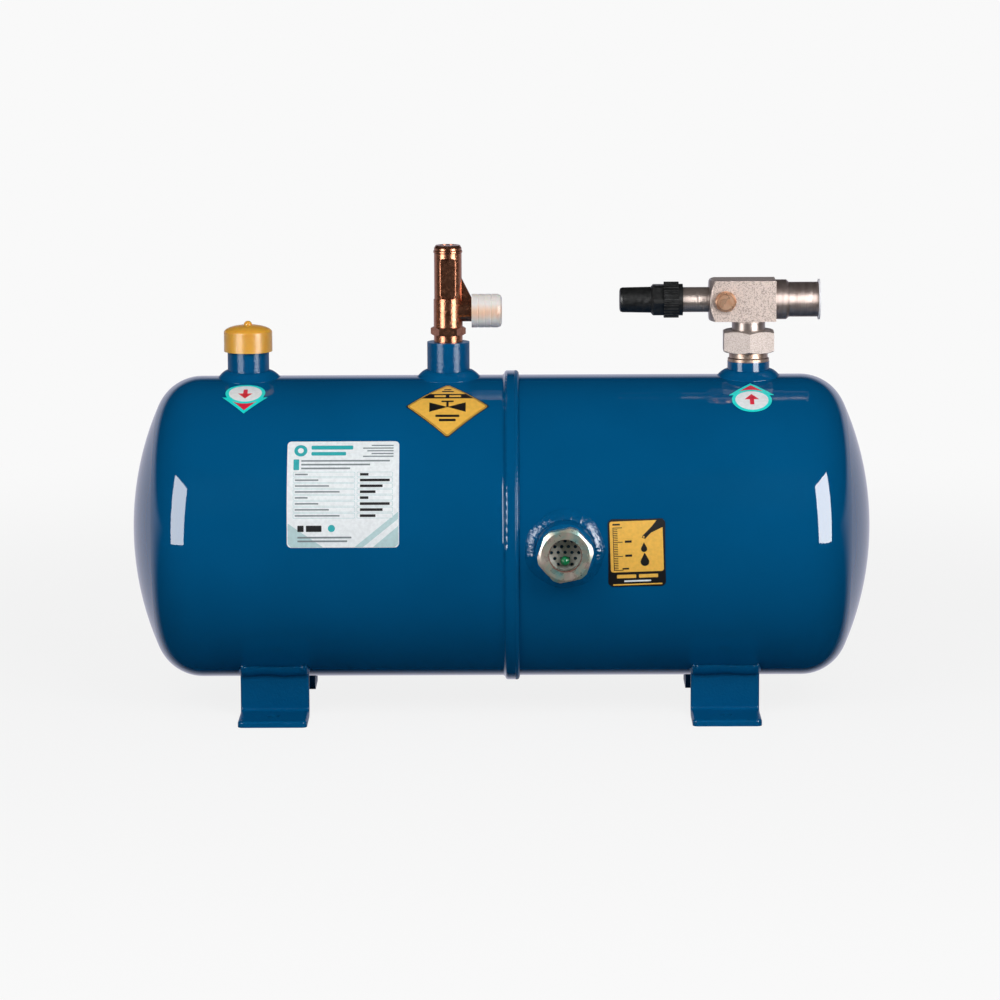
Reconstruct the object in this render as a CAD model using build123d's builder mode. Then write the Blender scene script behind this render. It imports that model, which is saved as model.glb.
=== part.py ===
from build123d import *
from math import atan2, cos, pi, radians, sin, sqrt, tan
import os

# Horizontal liquid receiver: a welded steel vessel that holds refrigerant between condenser and evaporator.
# Units are millimetres. +X runs along the vessel to the outlet end, -Y faces the sight glass, +Z is up.
# The origin is on the floor at the middle of the four foot bolts, the vessel's middle a little right of it.

# Vessel: two deep-drawn half shells, the left one belled over the right one
tank_diameter = 219.0
tank_length = 535.0
shell_wall = 3.0
crown_radius = 219.0
knuckle_radius = 34.0
axis_height = 132.0
vessel_shift = 1.5
bell_start = 0.5
bell_step_length = 4.0
lap_length = 5.5
lap_clearance = 0.1
lap_end_gap = 0.5
girth_weld_leg = 2.8
girth_weld_fullness = 0.65

# Feet: bent flat bar, one near each corner
foot_spacing = 325.0
foot_width = 49.5
foot_thickness = 4.5
foot_face_distance = 49.0
foot_reach = 39.0
foot_bend_radius = 2.5
foot_corner_radius = 4.0
foot_edge_round = 1.6
foot_hole_diameter = 9.0
foot_weld_drop = 6.0
foot_weld_rise = 5.0
foot_weld_bulge = 4.0
foot_weld_bulge_drop = 2.0
foot_weld_overhang = 1.0

# Ports on top
inlet_x = -181.5
relief_x = -36.5
outlet_x = 180.8
port_reach_inside = 8.0
port_fit = 0.1
port_weld_reach = 8.0
port_weld_height = 6.0
port_weld_sink = 4.0
port_weld_toe_drop = 1.2
port_weld_waist_reach = 4.4
port_weld_waist_height = 2.3

# Inlet stub with a solder socket and a slip-on cap
inlet_diameter = 30.0
inlet_height = 31.0
inlet_socket_diameter = 22.3
inlet_socket_depth = 18.0
inlet_passage_diameter = 19.0
inlet_cap_wall = 2.3
inlet_cap_grip = 0.2
inlet_cap_overlap = 12.3
inlet_cap_shoulder = 1.5
inlet_cap_dome = 5.5
inlet_cap_knob_radius = 3.2
inlet_cap_knob_height = 2.8
inlet_cap_knob_sink = 0.6

# Relief valve boss and relief valve
relief_boss_diameter = 30.7
relief_boss_height = 25.0
relief_thread_diameter = 20.8
relief_thread_depth = 20.0
relief_passage_diameter = 12.0
thread_fit = 0.05
thread_chamfer = 1.0
relief_hex_flats = 22.0
relief_hex_start = 30.0
relief_hex_height = 6.0
relief_lower_diameter = 21.0
relief_lower_top = 56.0
relief_upper_diameter = 20.0
relief_top = 95.2
relief_top_chamfer_height = 2.0
relief_top_chamfer_width = 1.2
relief_bead_width = 2.3
relief_bead_drop = 3.5
relief_bead_height = 0.5
relief_bead_edge = 0.6
relief_panel_width = 11.7
relief_panel_bottom = 56.6
relief_panel_top = 86.0
relief_panel_corner = 2.5
relief_panel_distance = 7.7
relief_nozzle_diameter = 8.0
relief_seat_height = 42.0
relief_chamber_diameter = 12.4
relief_port_height = 47.5
relief_port_diameter = 15.5
relief_port_shoulder = 17.0
relief_port_thread_diameter = 19.0
relief_port_reach = 35.4
relief_port_bore = 10.0
relief_rib_thickness = 3.0
relief_rib_sink = 1.0
relief_rib_top = 73.0
relief_rib_shoulder = 57.0
relief_seal_diameter = 10.6
relief_seal_thickness = 1.5
relief_disc_diameter = 12.0
relief_disc_thickness = 3.5
relief_guide_diameter = 5.0
relief_guide_length = 12.0
relief_lift_gap = 0.1
relief_spring_length = 34.0
relief_spring_turns = 11
relief_spring_wire = 1.4
relief_spring_diameter = 8.8
relief_adjuster_length = 9.0
relief_adjuster_slot = 2.0
relief_top_seal_thickness = 1.8
relief_top_seal_recess = 0.3
relief_outlet_cap_diameter = 24.3
relief_outlet_cap_length = 21.9
relief_outlet_cap_grip = 0.15
relief_outlet_cap_end = 2.2
relief_outlet_cap_round = 3.2
relief_outlet_cap_ribs = 4
relief_outlet_cap_rib_depth = 0.35
relief_outlet_cap_rib_width = 1.0

# Outlet connector and the dip tube below it
connector_diameter = 30.4
connector_paint_height = 10.5
connector_collar_diameter = 30.0
connector_collar_height = 13.2
connector_groove_diameter = 28.0
connector_groove_width = 5.0
connector_groove_slope = 0.8
connector_thread_diameter = 31.2
connector_height = 25.5
dip_tube_diameter = 22.2
dip_tube_wall = 1.2
dip_tube_top = 10.0
dip_tube_floor_gap = 14.0
dip_tube_cut_angle = 30.0
braze_gap = 0.05

# Union nut and gasket that hold the service valve on the connector
nut_flats = 36.0
nut_bottom = 17.0
nut_height = 16.0
nut_lip = 3.0
nut_face_inset = 0.5
nut_thread_gap = 0.1
union_gasket_thickness = 1.5
union_gasket_width = 3.2
valve_flange_diameter = 29.8
valve_flange_thickness = 2.9
valve_neck_diameter = 24.0
valve_neck_gap = 0.15

# Service valve block, spindle and stem
valve_axis = 55.0
block_size = 29.5
block_left = 28.9
block_right = 19.2
block_end_radius = 14.0
block_end_taper = 4.2
valve_port_diameter = 11.0
chamber_diameter = 18.4
back_seat = 10.1
gauge_annulus_diameter = 12.4
gauge_annulus_length = 10.9
stem_tube_diameter = 18.1
stem_tube_end = 62.0
stem_thread_diameter = 10.0
stem_thread_length = 24.0
stem_thread_start = 43.0
packing_bore_diameter = 13.0
packing_shoulder = 46.0
packing_length = 7.0
spindle_diameter = 8.0
spindle_end = 84.0
spindle_square = 5.6
spindle_square_length = 10.0
valve_disc_diameter = 17.2
valve_disc_thickness = 4.0
valve_disc_chamfer = 1.2
seat_gap = 0.1
stem_fit = 0.1
spindle_nose_length = 3.0
spindle_nose_diameter = 6.0
gland_head_flats = 14.0
gland_head_length = 4.0

# Outlet tube and its end plug
front_seat = 6.2
tube_shoulder_diameter = 28.8
tube_shoulder_end = 27.0
tube_taper_end = 29.0
tube_diameter = 25.2
tube_end = 50.1
tube_socket_diameter = 22.3
tube_socket_depth = 18.0
tube_seat_bore = 12.0
plug_flange_diameter = 29.2
plug_flange_thickness = 1.2
plug_reach = 8.0
plug_wall = 1.6
plug_grip = 0.15

# Stem cap
cap_mouth = 47.7
cap_lip_diameter = 22.9
cap_lip_end = 50.7
cap_knurl_diameter = 26.2
cap_knurl_end = 61.4
cap_knurl_count = 30
cap_knurl_depth = 0.8
cap_hex_end = 70.9
cap_hex_diameter = 23.6
cap_hex_flats = 21.8
cap_hex_taper = 2.0
cap_nose_end = 93.4
cap_nose_diameter = 18.8
cap_nose_draft = 0.4
cap_nose_round = 2.0
cap_end_wall = 2.2
cap_thread_gap = 0.15
cap_gland_room = 17.2
cap_spindle_room = 13.0
cap_step = 68.0
cap_seal_thickness = 1.0
cap_seal_bore = 16.4

# Gauge port plug on the front of the service valve
gauge_x = 17.2
gauge_thread_diameter = 6.4
gauge_thread_length = 6.5
gauge_bore_diameter = 4.0
gauge_washer_diameter = 15.0
gauge_washer_thickness = 0.8
gauge_hex_flats = 13.4
gauge_hex_height = 4.0
gauge_hex_chamfer = 0.8
gauge_face_diameter = 12.3
gauge_face_height = 1.6
gauge_face_chamfer = 0.6

# Sight glass on the front
sight_x = 46.4
sight_boss_diameter = 42.0
sight_boss_face = 129.5
sight_boss_reach_inside = 4.5
sight_boss_chamfer = 1.0
sight_thread_diameter = 33.0
sight_weld_reach = 7.5
sight_weld_height = 9.0
sight_weld_waist_reach = 5.2
sight_weld_waist_height = 2.7
sight_plug_flats = 36.5
sight_plug_corners = 39.4
sight_plug_turn = 12.0
sight_plug_head = 8.5
sight_plug_chamfer_depth = 1.6
sight_plug_chamfer_width = 1.2
sight_plug_shank = 17.0
sight_window_diameter = 23.6
sight_lip = 2.4
sight_bore_diameter = 26.0
sight_gasket_thickness = 0.5
sight_gasket_lip = 0.6
sight_glass_thickness = 6.0
sight_fit = 0.1
sight_ball_diameter = 7.0
sight_ball_drop = 5.3
sight_ball_gap = 0.05
sight_screen_radius = 45.0
sight_screen_thickness = 0.8
sight_screen_pitch = 4.8
sight_screen_hole = 2.4
sight_screen_rows = 2
sight_spacer_wall = 1.0
sight_retainer_length = 3.0
sight_retainer_wall = 2.2

# Printed labels
label_thickness = 0.25
label_gap = 0.1
data_label_width = 79.0
data_label_height = 78.5
data_label_x = -109.8
data_label_angle = 21.5
data_label_corner = 3.0
arrow_label_width = 33.6
arrow_label_height = 40.0
arrow_oval_width = 29.2
arrow_oval_height = 28.4
arrow_wing_offset = 0.3
arrow_label_angle = 66.0
relief_label_width = 60.0
relief_label_height = 62.5
relief_label_angle = 59.6
relief_label_corner = 1.5
level_label_width = 40.0
level_label_height = 48.5
level_label_x = 97.0
level_label_angle = -1.5
level_label_turn = -2.0
level_label_corner = 3.0

os.makedirs("parts", exist_ok=True)

# Places worked out from the sizes above
tank_radius = tank_diameter / 2
tank_top = axis_height + tank_radius
head_depth = crown_radius - sqrt((crown_radius - knuckle_radius) ** 2 - (tank_radius - knuckle_radius) ** 2)
straight_end = tank_length / 2 - head_depth
bell_end = bell_start + bell_step_length
lap_end = bell_end + lap_length
valve_level = tank_top + valve_axis
gasket_top = connector_height + union_gasket_thickness

# Wrench corners are turned off at 30 degrees, and a small round is cut as two flats through its middle
corner_slope = tan(radians(30))
quarter_turn = 90.0
round_inset = 1 - sqrt(0.5)

# Work planes: across the page is along the vessel, up the page is up
tank_plane = Plane(origin=(vessel_shift, 0, axis_height), x_dir=(1, 0, 0), z_dir=(0, -1, 0))
valve_plane = Plane(origin=(outlet_x, 0, valve_level), x_dir=(1, 0, 0), z_dir=(0, -1, 0))
relief_port_plane = Plane(
    origin=(relief_x, 0, tank_top + relief_port_height), x_dir=(1, 0, 0), z_dir=(0, -1, 0)
)
sight_plane = Plane(origin=(sight_x, 0, axis_height), x_dir=(0, -1, 0), z_dir=(-1, 0, 0))
gauge_plane = Plane(origin=(outlet_x - gauge_x, 0, valve_level), x_dir=(0, -1, 0), z_dir=(-1, 0, 0))


def upright(x):
    """The plane of an upright port's profile: radius across, height above the vessel's top up."""
    return Plane(origin=(x, 0, tank_top), x_dir=(1, 0, 0), z_dir=(0, -1, 0))


def level(x, height):
    """The level plane at this height above the vessel's top, centred on the port at x."""
    return Plane(origin=(x, 0, tank_top + height))


def facing_front(x, distance, height):
    """The upright plane that faces the front at this distance before the vessel's axis."""
    return Plane(origin=(x, -distance, height), x_dir=(1, 0, 0), z_dir=(0, -1, 0))


def facing_right(x):
    """The upright plane across the service valve's axis at this distance right of its neck."""
    return Plane(origin=(outlet_x + x, 0, valve_level), x_dir=(0, 1, 0), z_dir=(1, 0, 0))


def turn_up(plane, points, mode=Mode.ADD):
    """Turns a closed outline about the plane's upright axis."""
    with BuildSketch(plane) as profile:
        with BuildLine():
            Polyline(*points, close=True)
        make_face()
    revolve(profile.sketch, axis=Axis(plane.origin, plane.y_dir), mode=mode)


def turn_along(plane, points, mode=Mode.ADD):
    """Turns a closed outline about the plane's horizontal axis."""
    with BuildSketch(plane) as profile:
        with BuildLine():
            Polyline(*points, close=True)
        make_face()
    revolve(profile.sketch, axis=Axis(plane.origin, plane.x_dir), mode=mode)


def trim_to_vessel(radius=tank_radius):
    """Cuts away what lies inside the vessel's cylinder."""
    with Locations((0, 0, axis_height)):
        Cylinder(radius, tank_length, rotation=(0, 90, 0), mode=Mode.SUBTRACT)


def keep(piece, name):
    """Names a finished piece and writes its file."""
    piece.part.label = name
    export_step(piece.part, f"parts/{name}.step")


def head_outline(side, inset):
    """Draws one dished end's half section, from the cylinder to the pole, this far inside the outer face."""
    edge = tank_radius - inset
    knuckle = knuckle_radius - inset
    crown = crown_radius - inset
    knuckle_centre = (side * straight_end, edge - knuckle)
    crown_centre = side * (tank_length / 2 - crown_radius)
    lean = atan2(knuckle_centre[1], side * (knuckle_centre[0] - crown_centre))
    middle = (lean + pi / 2) / 2
    blend = (crown_centre + side * crown * cos(lean), crown * sin(lean))
    ThreePointArc(
        (side * straight_end, edge),
        (knuckle_centre[0] + side * knuckle * cos(middle), knuckle_centre[1] + knuckle * sin(middle)),
        blend,
    )
    ThreePointArc(
        blend,
        (crown_centre + side * crown * cos(lean / 2), crown * sin(lean / 2)),
        (side * (tank_length / 2 - inset), 0),
    )


# Left half shell, belled out at its rim to slip over the right one
bell_inside = tank_radius + lap_clearance
shell_inside = tank_radius - shell_wall
bell_middle = (bell_start + bell_end) / 2
step_middle = (bell_inside + shell_wall + tank_radius) / 2
with BuildPart() as left_shell:
    with BuildSketch(tank_plane):
        with BuildLine():
            head_outline(-1, 0)
            Line((-straight_end, tank_radius), (bell_start, tank_radius))
            TangentArc((bell_start, tank_radius), (bell_middle, step_middle), tangent=(1, 0))
            TangentArc((bell_end, bell_inside + shell_wall), (bell_middle, step_middle), tangent=(-1, 0))
            Polyline(
                (bell_end, bell_inside + shell_wall),
                (lap_end, bell_inside + shell_wall),
                (lap_end, bell_inside),
                (bell_end, bell_inside),
            )
            TangentArc((bell_end, bell_inside), (bell_middle, step_middle - shell_wall), tangent=(-1, 0))
            TangentArc((bell_start, shell_inside), (bell_middle, step_middle - shell_wall), tangent=(1, 0))
            Line((bell_start, shell_inside), (-straight_end, shell_inside))
            head_outline(-1, shell_wall)
            Line((-tank_length / 2 + shell_wall, 0), (-tank_length / 2, 0))
        make_face()
    revolve(axis=Axis(tank_plane.origin, tank_plane.x_dir))
    for x, diameter in ((inlet_x, inlet_diameter), (relief_x, relief_boss_diameter)):
        with BuildSketch(level(x, port_weld_height)) as opening:
            Circle(diameter / 2 + port_fit)
        extrude(opening.sketch, amount=-tank_radius, mode=Mode.SUBTRACT)
keep(left_shell, "left_shell")

# Right half shell, plain at its rim
with BuildPart() as right_shell:
    with BuildSketch(tank_plane):
        with BuildLine():
            head_outline(1, 0)
            Polyline(
                (straight_end, tank_radius),
                (bell_end + lap_end_gap, tank_radius),
                (bell_end + lap_end_gap, tank_radius - shell_wall),
                (straight_end, tank_radius - shell_wall),
            )
            head_outline(1, shell_wall)
            Line((tank_length / 2 - shell_wall, 0), (tank_length / 2, 0))
        make_face()
    revolve(axis=Axis(tank_plane.origin, tank_plane.x_dir))
    with BuildSketch(level(outlet_x, port_weld_height)):
        Circle(connector_diameter / 2 + port_fit)
    extrude(amount=-tank_radius, mode=Mode.SUBTRACT)
    with BuildSketch(facing_front(sight_x, sight_boss_face, axis_height)):
        Circle(sight_boss_diameter / 2 + port_fit)
    extrude(amount=-sight_boss_face, mode=Mode.SUBTRACT)
keep(right_shell, "right_shell")

# Girth weld, a rounded fillet round the bell's edge
girth_weld_middle = tank_radius + girth_weld_fullness * shell_wall
with BuildPart() as girth_weld:
    with BuildSketch(tank_plane):
        with BuildLine():
            Polyline(
                (lap_end + girth_weld_leg, tank_radius),
                (lap_end, tank_radius),
                (lap_end, bell_inside + shell_wall),
            )
            ThreePointArc(
                (lap_end, bell_inside + shell_wall),
                (lap_end + girth_weld_fullness * girth_weld_leg, girth_weld_middle),
                (lap_end + girth_weld_leg, tank_radius),
            )
        make_face()
    revolve(axis=Axis(tank_plane.origin, tank_plane.x_dir))
keep(girth_weld, "girth_weld")

# Feet: a bar bent outwards, its upper end cut to the vessel and welded along its face
foot_front = foot_face_distance + foot_reach
foot_hole_distance = foot_face_distance + foot_reach / 2
foot_top = axis_height - sqrt(tank_radius**2 - foot_face_distance**2)
foot_places = {"left_front": (-1, -1), "right_front": (1, -1), "left_rear": (-1, 1), "right_rear": (1, 1)}
bend_centre = (foot_face_distance + foot_bend_radius, foot_bend_radius + foot_thickness)


def bend_arc(radius):
    """A quarter turn of the foot's bend, from its upright face down to its flange."""
    reach = radius * sqrt(0.5)
    ThreePointArc(
        (bend_centre[0] - radius, bend_centre[1]),
        (bend_centre[0] - reach, bend_centre[1] - reach),
        (bend_centre[0], bend_centre[1] - radius),
    )


for corner, (side, face) in foot_places.items():
    foot_centre = side * foot_spacing / 2
    side_plane = Plane(
        origin=(foot_centre - face * foot_width / 2, 0, 0), x_dir=(0, face, 0), z_dir=(face, 0, 0)
    )
    with BuildPart() as foot:
        with BuildSketch(side_plane):
            with BuildLine():
                bend_arc(foot_bend_radius + foot_thickness)
                Polyline(
                    (bend_centre[0], 0),
                    (foot_front, 0),
                    (foot_front, foot_thickness),
                    (bend_centre[0], foot_thickness),
                )
                bend_arc(foot_bend_radius)
                Polyline(
                    (foot_face_distance, bend_centre[1]),
                    (foot_face_distance, axis_height),
                    (foot_face_distance - foot_thickness, axis_height),
                    (foot_face_distance - foot_thickness, bend_centre[1]),
                )
            make_face()
        extrude(amount=foot_width)
        trim_to_vessel()
        with BuildSketch(Plane(origin=(foot_centre, face * foot_hole_distance, foot_thickness))):
            Circle(foot_hole_diameter / 2)
        extrude(amount=-foot_thickness, mode=Mode.SUBTRACT)
        upright_edges = foot.edges().filter_by(Axis.Z).sort_by(lambda edge: face * edge.center().Y)
        fillet(upright_edges[-2:], foot_corner_radius)
        upright_edges = foot.edges().filter_by(Axis.Z).sort_by(lambda edge: face * edge.center().Y)
        fillet(upright_edges[2:4], foot_edge_round)
    keep(foot, f"foot_{corner}")

    with BuildPart() as foot_weld:
        with BuildSketch(side_plane.offset(-foot_weld_overhang)):
            with BuildLine():
                Polyline(
                    (foot_face_distance + foot_weld_bulge + foot_weld_rise, foot_top + foot_weld_rise),
                    (foot_face_distance, foot_top + foot_weld_rise + foot_weld_bulge),
                    (foot_face_distance, foot_top - foot_weld_drop),
                )
                ThreePointArc(
                    (foot_face_distance, foot_top - foot_weld_drop),
                    (foot_face_distance + foot_weld_bulge, foot_top - foot_weld_bulge_drop),
                    (foot_face_distance + foot_weld_bulge + foot_weld_rise, foot_top + foot_weld_rise),
                )
            make_face()
        extrude(amount=foot_width + 2 * foot_weld_overhang)
        trim_to_vessel()
    keep(foot_weld, f"foot_weld_{corner}")


def port_weld(x, diameter):
    """A fillet weld that runs down from an upright port onto the vessel."""
    inner = diameter / 2
    outer = inner + port_weld_reach
    turn_up(
        upright(x),
        (
            (inner, port_weld_height),
            (inner + port_weld_waist_reach, port_weld_waist_height),
            (outer, -port_weld_toe_drop),
            (outer, -port_weld_sink),
            (inner, -port_weld_sink),
        ),
    )
    trim_to_vessel()


# Inlet stub: a plain sleeve with a solder socket in its mouth
with BuildPart() as inlet_stub:
    turn_up(
        upright(inlet_x),
        (
            (inlet_passage_diameter / 2, -shell_wall - port_reach_inside),
            (inlet_diameter / 2, -shell_wall - port_reach_inside),
            (inlet_diameter / 2, inlet_height),
            (inlet_socket_diameter / 2, inlet_height),
            (inlet_socket_diameter / 2, inlet_height - inlet_socket_depth),
            (inlet_passage_diameter / 2, inlet_height - inlet_socket_depth),
        ),
    )
keep(inlet_stub, "inlet_stub")

with BuildPart() as inlet_weld:
    port_weld(inlet_x, inlet_diameter)
keep(inlet_weld, "inlet_weld")

# Inlet cap: soft vinyl, slipped over the stub, with a domed end and a moulding nub
cap_bore = inlet_diameter / 2 + inlet_cap_grip
cap_outside = cap_bore + inlet_cap_wall
cap_shoulder_level = inlet_height + inlet_cap_shoulder
cap_dome_level = cap_shoulder_level + inlet_cap_dome
knob_bottom = cap_dome_level - inlet_cap_knob_sink
knob_rise = inlet_cap_knob_height + inlet_cap_knob_sink
with BuildPart() as inlet_cap:
    with BuildSketch(upright(inlet_x)):
        with BuildLine():
            Polyline(
                (0, cap_dome_level - inlet_cap_wall),
                (cap_bore - inlet_cap_dome, cap_dome_level - inlet_cap_wall),
                (cap_bore, cap_shoulder_level),
                (cap_bore, inlet_height - inlet_cap_overlap),
                (cap_outside, inlet_height - inlet_cap_overlap),
                (cap_outside, cap_shoulder_level),
            )
            EllipticalCenterArc((0, cap_shoulder_level), cap_outside, inlet_cap_dome, arc_size=quarter_turn)
            Line((0, cap_dome_level), (0, cap_dome_level - inlet_cap_wall))
        make_face()
        with BuildLine():
            EllipticalCenterArc((0, knob_bottom), inlet_cap_knob_radius, knob_rise, arc_size=quarter_turn)
            Polyline((inlet_cap_knob_radius, knob_bottom), (0, knob_bottom), (0, knob_bottom + knob_rise))
        make_face()
    revolve(axis=Axis(upright(inlet_x).origin, (0, 0, 1)))
keep(inlet_cap, "inlet_cap")

# Relief valve boss: a threaded round welded into the shell
relief_thread_bottom = relief_boss_height - relief_thread_depth
with BuildPart() as relief_boss:
    turn_up(
        upright(relief_x),
        (
            (relief_passage_diameter / 2, -shell_wall - port_reach_inside),
            (relief_boss_diameter / 2, -shell_wall - port_reach_inside),
            (relief_boss_diameter / 2, relief_boss_height),
            (relief_thread_diameter / 2 + thread_fit, relief_boss_height),
            (relief_thread_diameter / 2 + thread_fit, relief_thread_bottom),
            (relief_passage_diameter / 2, relief_thread_bottom),
        ),
    )
keep(relief_boss, "relief_boss")

with BuildPart() as relief_boss_weld:
    port_weld(relief_x, relief_boss_diameter)
keep(relief_boss_weld, "relief_boss_weld")

# Relief valve body: one hot-pressed brass forging, turned at its neck and bored through
hex_corner = relief_hex_flats / sqrt(3)
hex_top = relief_hex_start + relief_hex_height
hex_chamfer = (hex_corner - relief_hex_flats / 2) * corner_slope
bead_top = relief_top - relief_bead_drop
bead_radius = relief_upper_diameter / 2 + relief_bead_height
panel_middle = tank_top + (relief_panel_bottom + relief_panel_top) / 2
relief_plane = upright(relief_x)
with BuildPart() as relief_body:
    with BuildSketch(level(relief_x, relief_hex_start)):
        RegularPolygon(relief_hex_flats / 2, 6, major_radius=False)
    extrude(amount=relief_hex_height)
    turn_up(
        relief_plane,
        (
            (0, relief_hex_start),
            (relief_hex_flats / 2, relief_hex_start),
            (hex_corner, relief_hex_start + hex_chamfer),
            (hex_corner, hex_top - hex_chamfer),
            (relief_hex_flats / 2, hex_top),
            (0, hex_top),
        ),
        mode=Mode.INTERSECT,
    )
    turn_up(
        relief_plane,
        (
            (0, relief_thread_bottom),
            (relief_thread_diameter / 2, relief_thread_bottom),
            (relief_thread_diameter / 2, hex_top),
            (relief_lower_diameter / 2, hex_top),
            (relief_lower_diameter / 2, relief_lower_top),
            (relief_upper_diameter / 2, relief_lower_top),
            (relief_upper_diameter / 2, bead_top - relief_bead_width),
            (bead_radius, bead_top - relief_bead_width + relief_bead_edge),
            (bead_radius, bead_top - relief_bead_edge),
            (relief_upper_diameter / 2, bead_top),
            (relief_upper_diameter / 2, relief_top - relief_top_chamfer_height),
            (relief_upper_diameter / 2 - relief_top_chamfer_width, relief_top),
            (0, relief_top),
        ),
    )
    turn_along(
        relief_port_plane,
        (
            (0, 0),
            (0, relief_port_diameter / 2),
            (relief_port_shoulder, relief_port_diameter / 2),
            (relief_port_shoulder, relief_port_thread_diameter / 2),
            (relief_port_reach - thread_chamfer, relief_port_thread_diameter / 2),
            (relief_port_reach, relief_port_thread_diameter / 2 - thread_chamfer),
            (relief_port_reach, 0),
        ),
    )
    with BuildSketch(relief_plane):
        Polygon(
            (0, relief_rib_top),
            (relief_upper_diameter / 2 - relief_rib_sink, relief_rib_top),
            (relief_port_shoulder, relief_rib_shoulder),
            (relief_port_shoulder, relief_port_height),
            (0, relief_port_height),
            align=None,
        )
    extrude(amount=relief_rib_thickness / 2, both=True)
    with BuildSketch(facing_front(relief_x, relief_panel_distance, panel_middle)):
        RectangleRounded(relief_panel_width, relief_panel_top - relief_panel_bottom, relief_panel_corner)
    extrude(amount=relief_upper_diameter / 2, mode=Mode.SUBTRACT)
    turn_up(
        relief_plane,
        (
            (0, relief_thread_bottom),
            (relief_nozzle_diameter / 2, relief_thread_bottom),
            (relief_nozzle_diameter / 2, relief_seat_height),
            (relief_chamber_diameter / 2, relief_seat_height),
            (relief_chamber_diameter / 2, relief_top),
            (0, relief_top),
        ),
        mode=Mode.SUBTRACT,
    )
    turn_along(
        relief_port_plane,
        (
            (0, 0),
            (0, relief_port_bore / 2),
            (relief_port_reach, relief_port_bore / 2),
            (relief_port_reach, 0),
        ),
        mode=Mode.SUBTRACT,
    )
keep(relief_body, "relief_body")

# Relief seal: a soft disc pressed on the nozzle by the disc holder
seal_bottom = relief_seat_height + relief_lift_gap
seal_top = seal_bottom + relief_seal_thickness
with BuildPart() as relief_seal:
    with BuildSketch(level(relief_x, seal_bottom)):
        Circle(relief_seal_diameter / 2)
    extrude(amount=relief_seal_thickness)
keep(relief_seal, "relief_seal")

# Relief disc: the brass holder of the seal, with the stem that centres the spring
disc_top = seal_top + relief_disc_thickness
with BuildPart() as relief_disc:
    turn_up(
        relief_plane,
        (
            (0, seal_top),
            (relief_disc_diameter / 2, seal_top),
            (relief_disc_diameter / 2, disc_top),
            (relief_guide_diameter / 2, disc_top),
            (relief_guide_diameter / 2, disc_top + relief_guide_length),
            (0, disc_top + relief_guide_length),
        ),
    )
keep(relief_disc, "relief_disc")

# Relief spring: a wire coil between the disc and the adjusting screw
spring_top = disc_top + relief_spring_length
with BuildPart() as relief_spring:
    with BuildLine(level(relief_x, disc_top + relief_spring_wire / 2)) as coil:
        Helix(
            pitch=(relief_spring_length - relief_spring_wire) / relief_spring_turns,
            height=relief_spring_length - relief_spring_wire,
            radius=relief_spring_diameter / 2,
        )
    with BuildSketch(Plane(origin=coil.line @ 0, z_dir=coil.line % 0)):
        Circle(relief_spring_wire / 2)
    sweep(is_frenet=True)
keep(relief_spring, "relief_spring")

# Adjusting screw: sets the spring's load, turned by a slot
adjuster_top = spring_top + relief_adjuster_length
adjuster_radius = relief_chamber_diameter / 2 - thread_fit
with BuildPart() as relief_adjuster:
    with BuildSketch(level(relief_x, spring_top)):
        Circle(adjuster_radius)
    extrude(amount=relief_adjuster_length)
    with BuildSketch(level(relief_x, adjuster_top)):
        Rectangle(3 * adjuster_radius, relief_adjuster_slot)
    extrude(amount=-relief_adjuster_slot, mode=Mode.SUBTRACT)
keep(relief_adjuster, "relief_adjuster")

# Top seal: the disc pressed in over the adjusting screw
with BuildPart() as relief_top_seal:
    with BuildSketch(level(relief_x, relief_top - relief_top_seal_recess)):
        Circle(adjuster_radius)
    extrude(amount=-relief_top_seal_thickness)
keep(relief_top_seal, "relief_top_seal")

# Relief outlet cap: a ribbed plastic thread protector
protector_start = relief_port_shoulder
protector_end = protector_start + relief_outlet_cap_length
protector_radius = relief_outlet_cap_diameter / 2
protector_round = relief_outlet_cap_round * round_inset
protector_bore = relief_port_thread_diameter / 2 + relief_outlet_cap_grip
with BuildPart() as relief_outlet_cap:
    turn_along(
        relief_port_plane,
        (
            (protector_start, protector_bore),
            (protector_start, protector_radius),
            (protector_end - relief_outlet_cap_round, protector_radius),
            (protector_end - protector_round, protector_radius - protector_round),
            (protector_end, protector_radius - relief_outlet_cap_round),
            (protector_end, 0),
            (protector_end - relief_outlet_cap_end, 0),
            (protector_end - relief_outlet_cap_end, protector_bore),
        ),
    )
    rib_step = (relief_outlet_cap_length - relief_outlet_cap_round) / relief_outlet_cap_ribs
    for rib in range(1, relief_outlet_cap_ribs):
        groove = protector_start + rib * rib_step
        turn_along(
            relief_port_plane,
            (
                (groove - relief_outlet_cap_rib_width / 2, relief_outlet_cap_diameter),
                (groove - relief_outlet_cap_rib_width / 2, protector_radius),
                (groove, protector_radius - relief_outlet_cap_rib_depth),
                (groove + relief_outlet_cap_rib_width / 2, protector_radius),
                (groove + relief_outlet_cap_rib_width / 2, relief_outlet_cap_diameter),
            ),
            mode=Mode.SUBTRACT,
        )
keep(relief_outlet_cap, "relief_outlet_cap")

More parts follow.
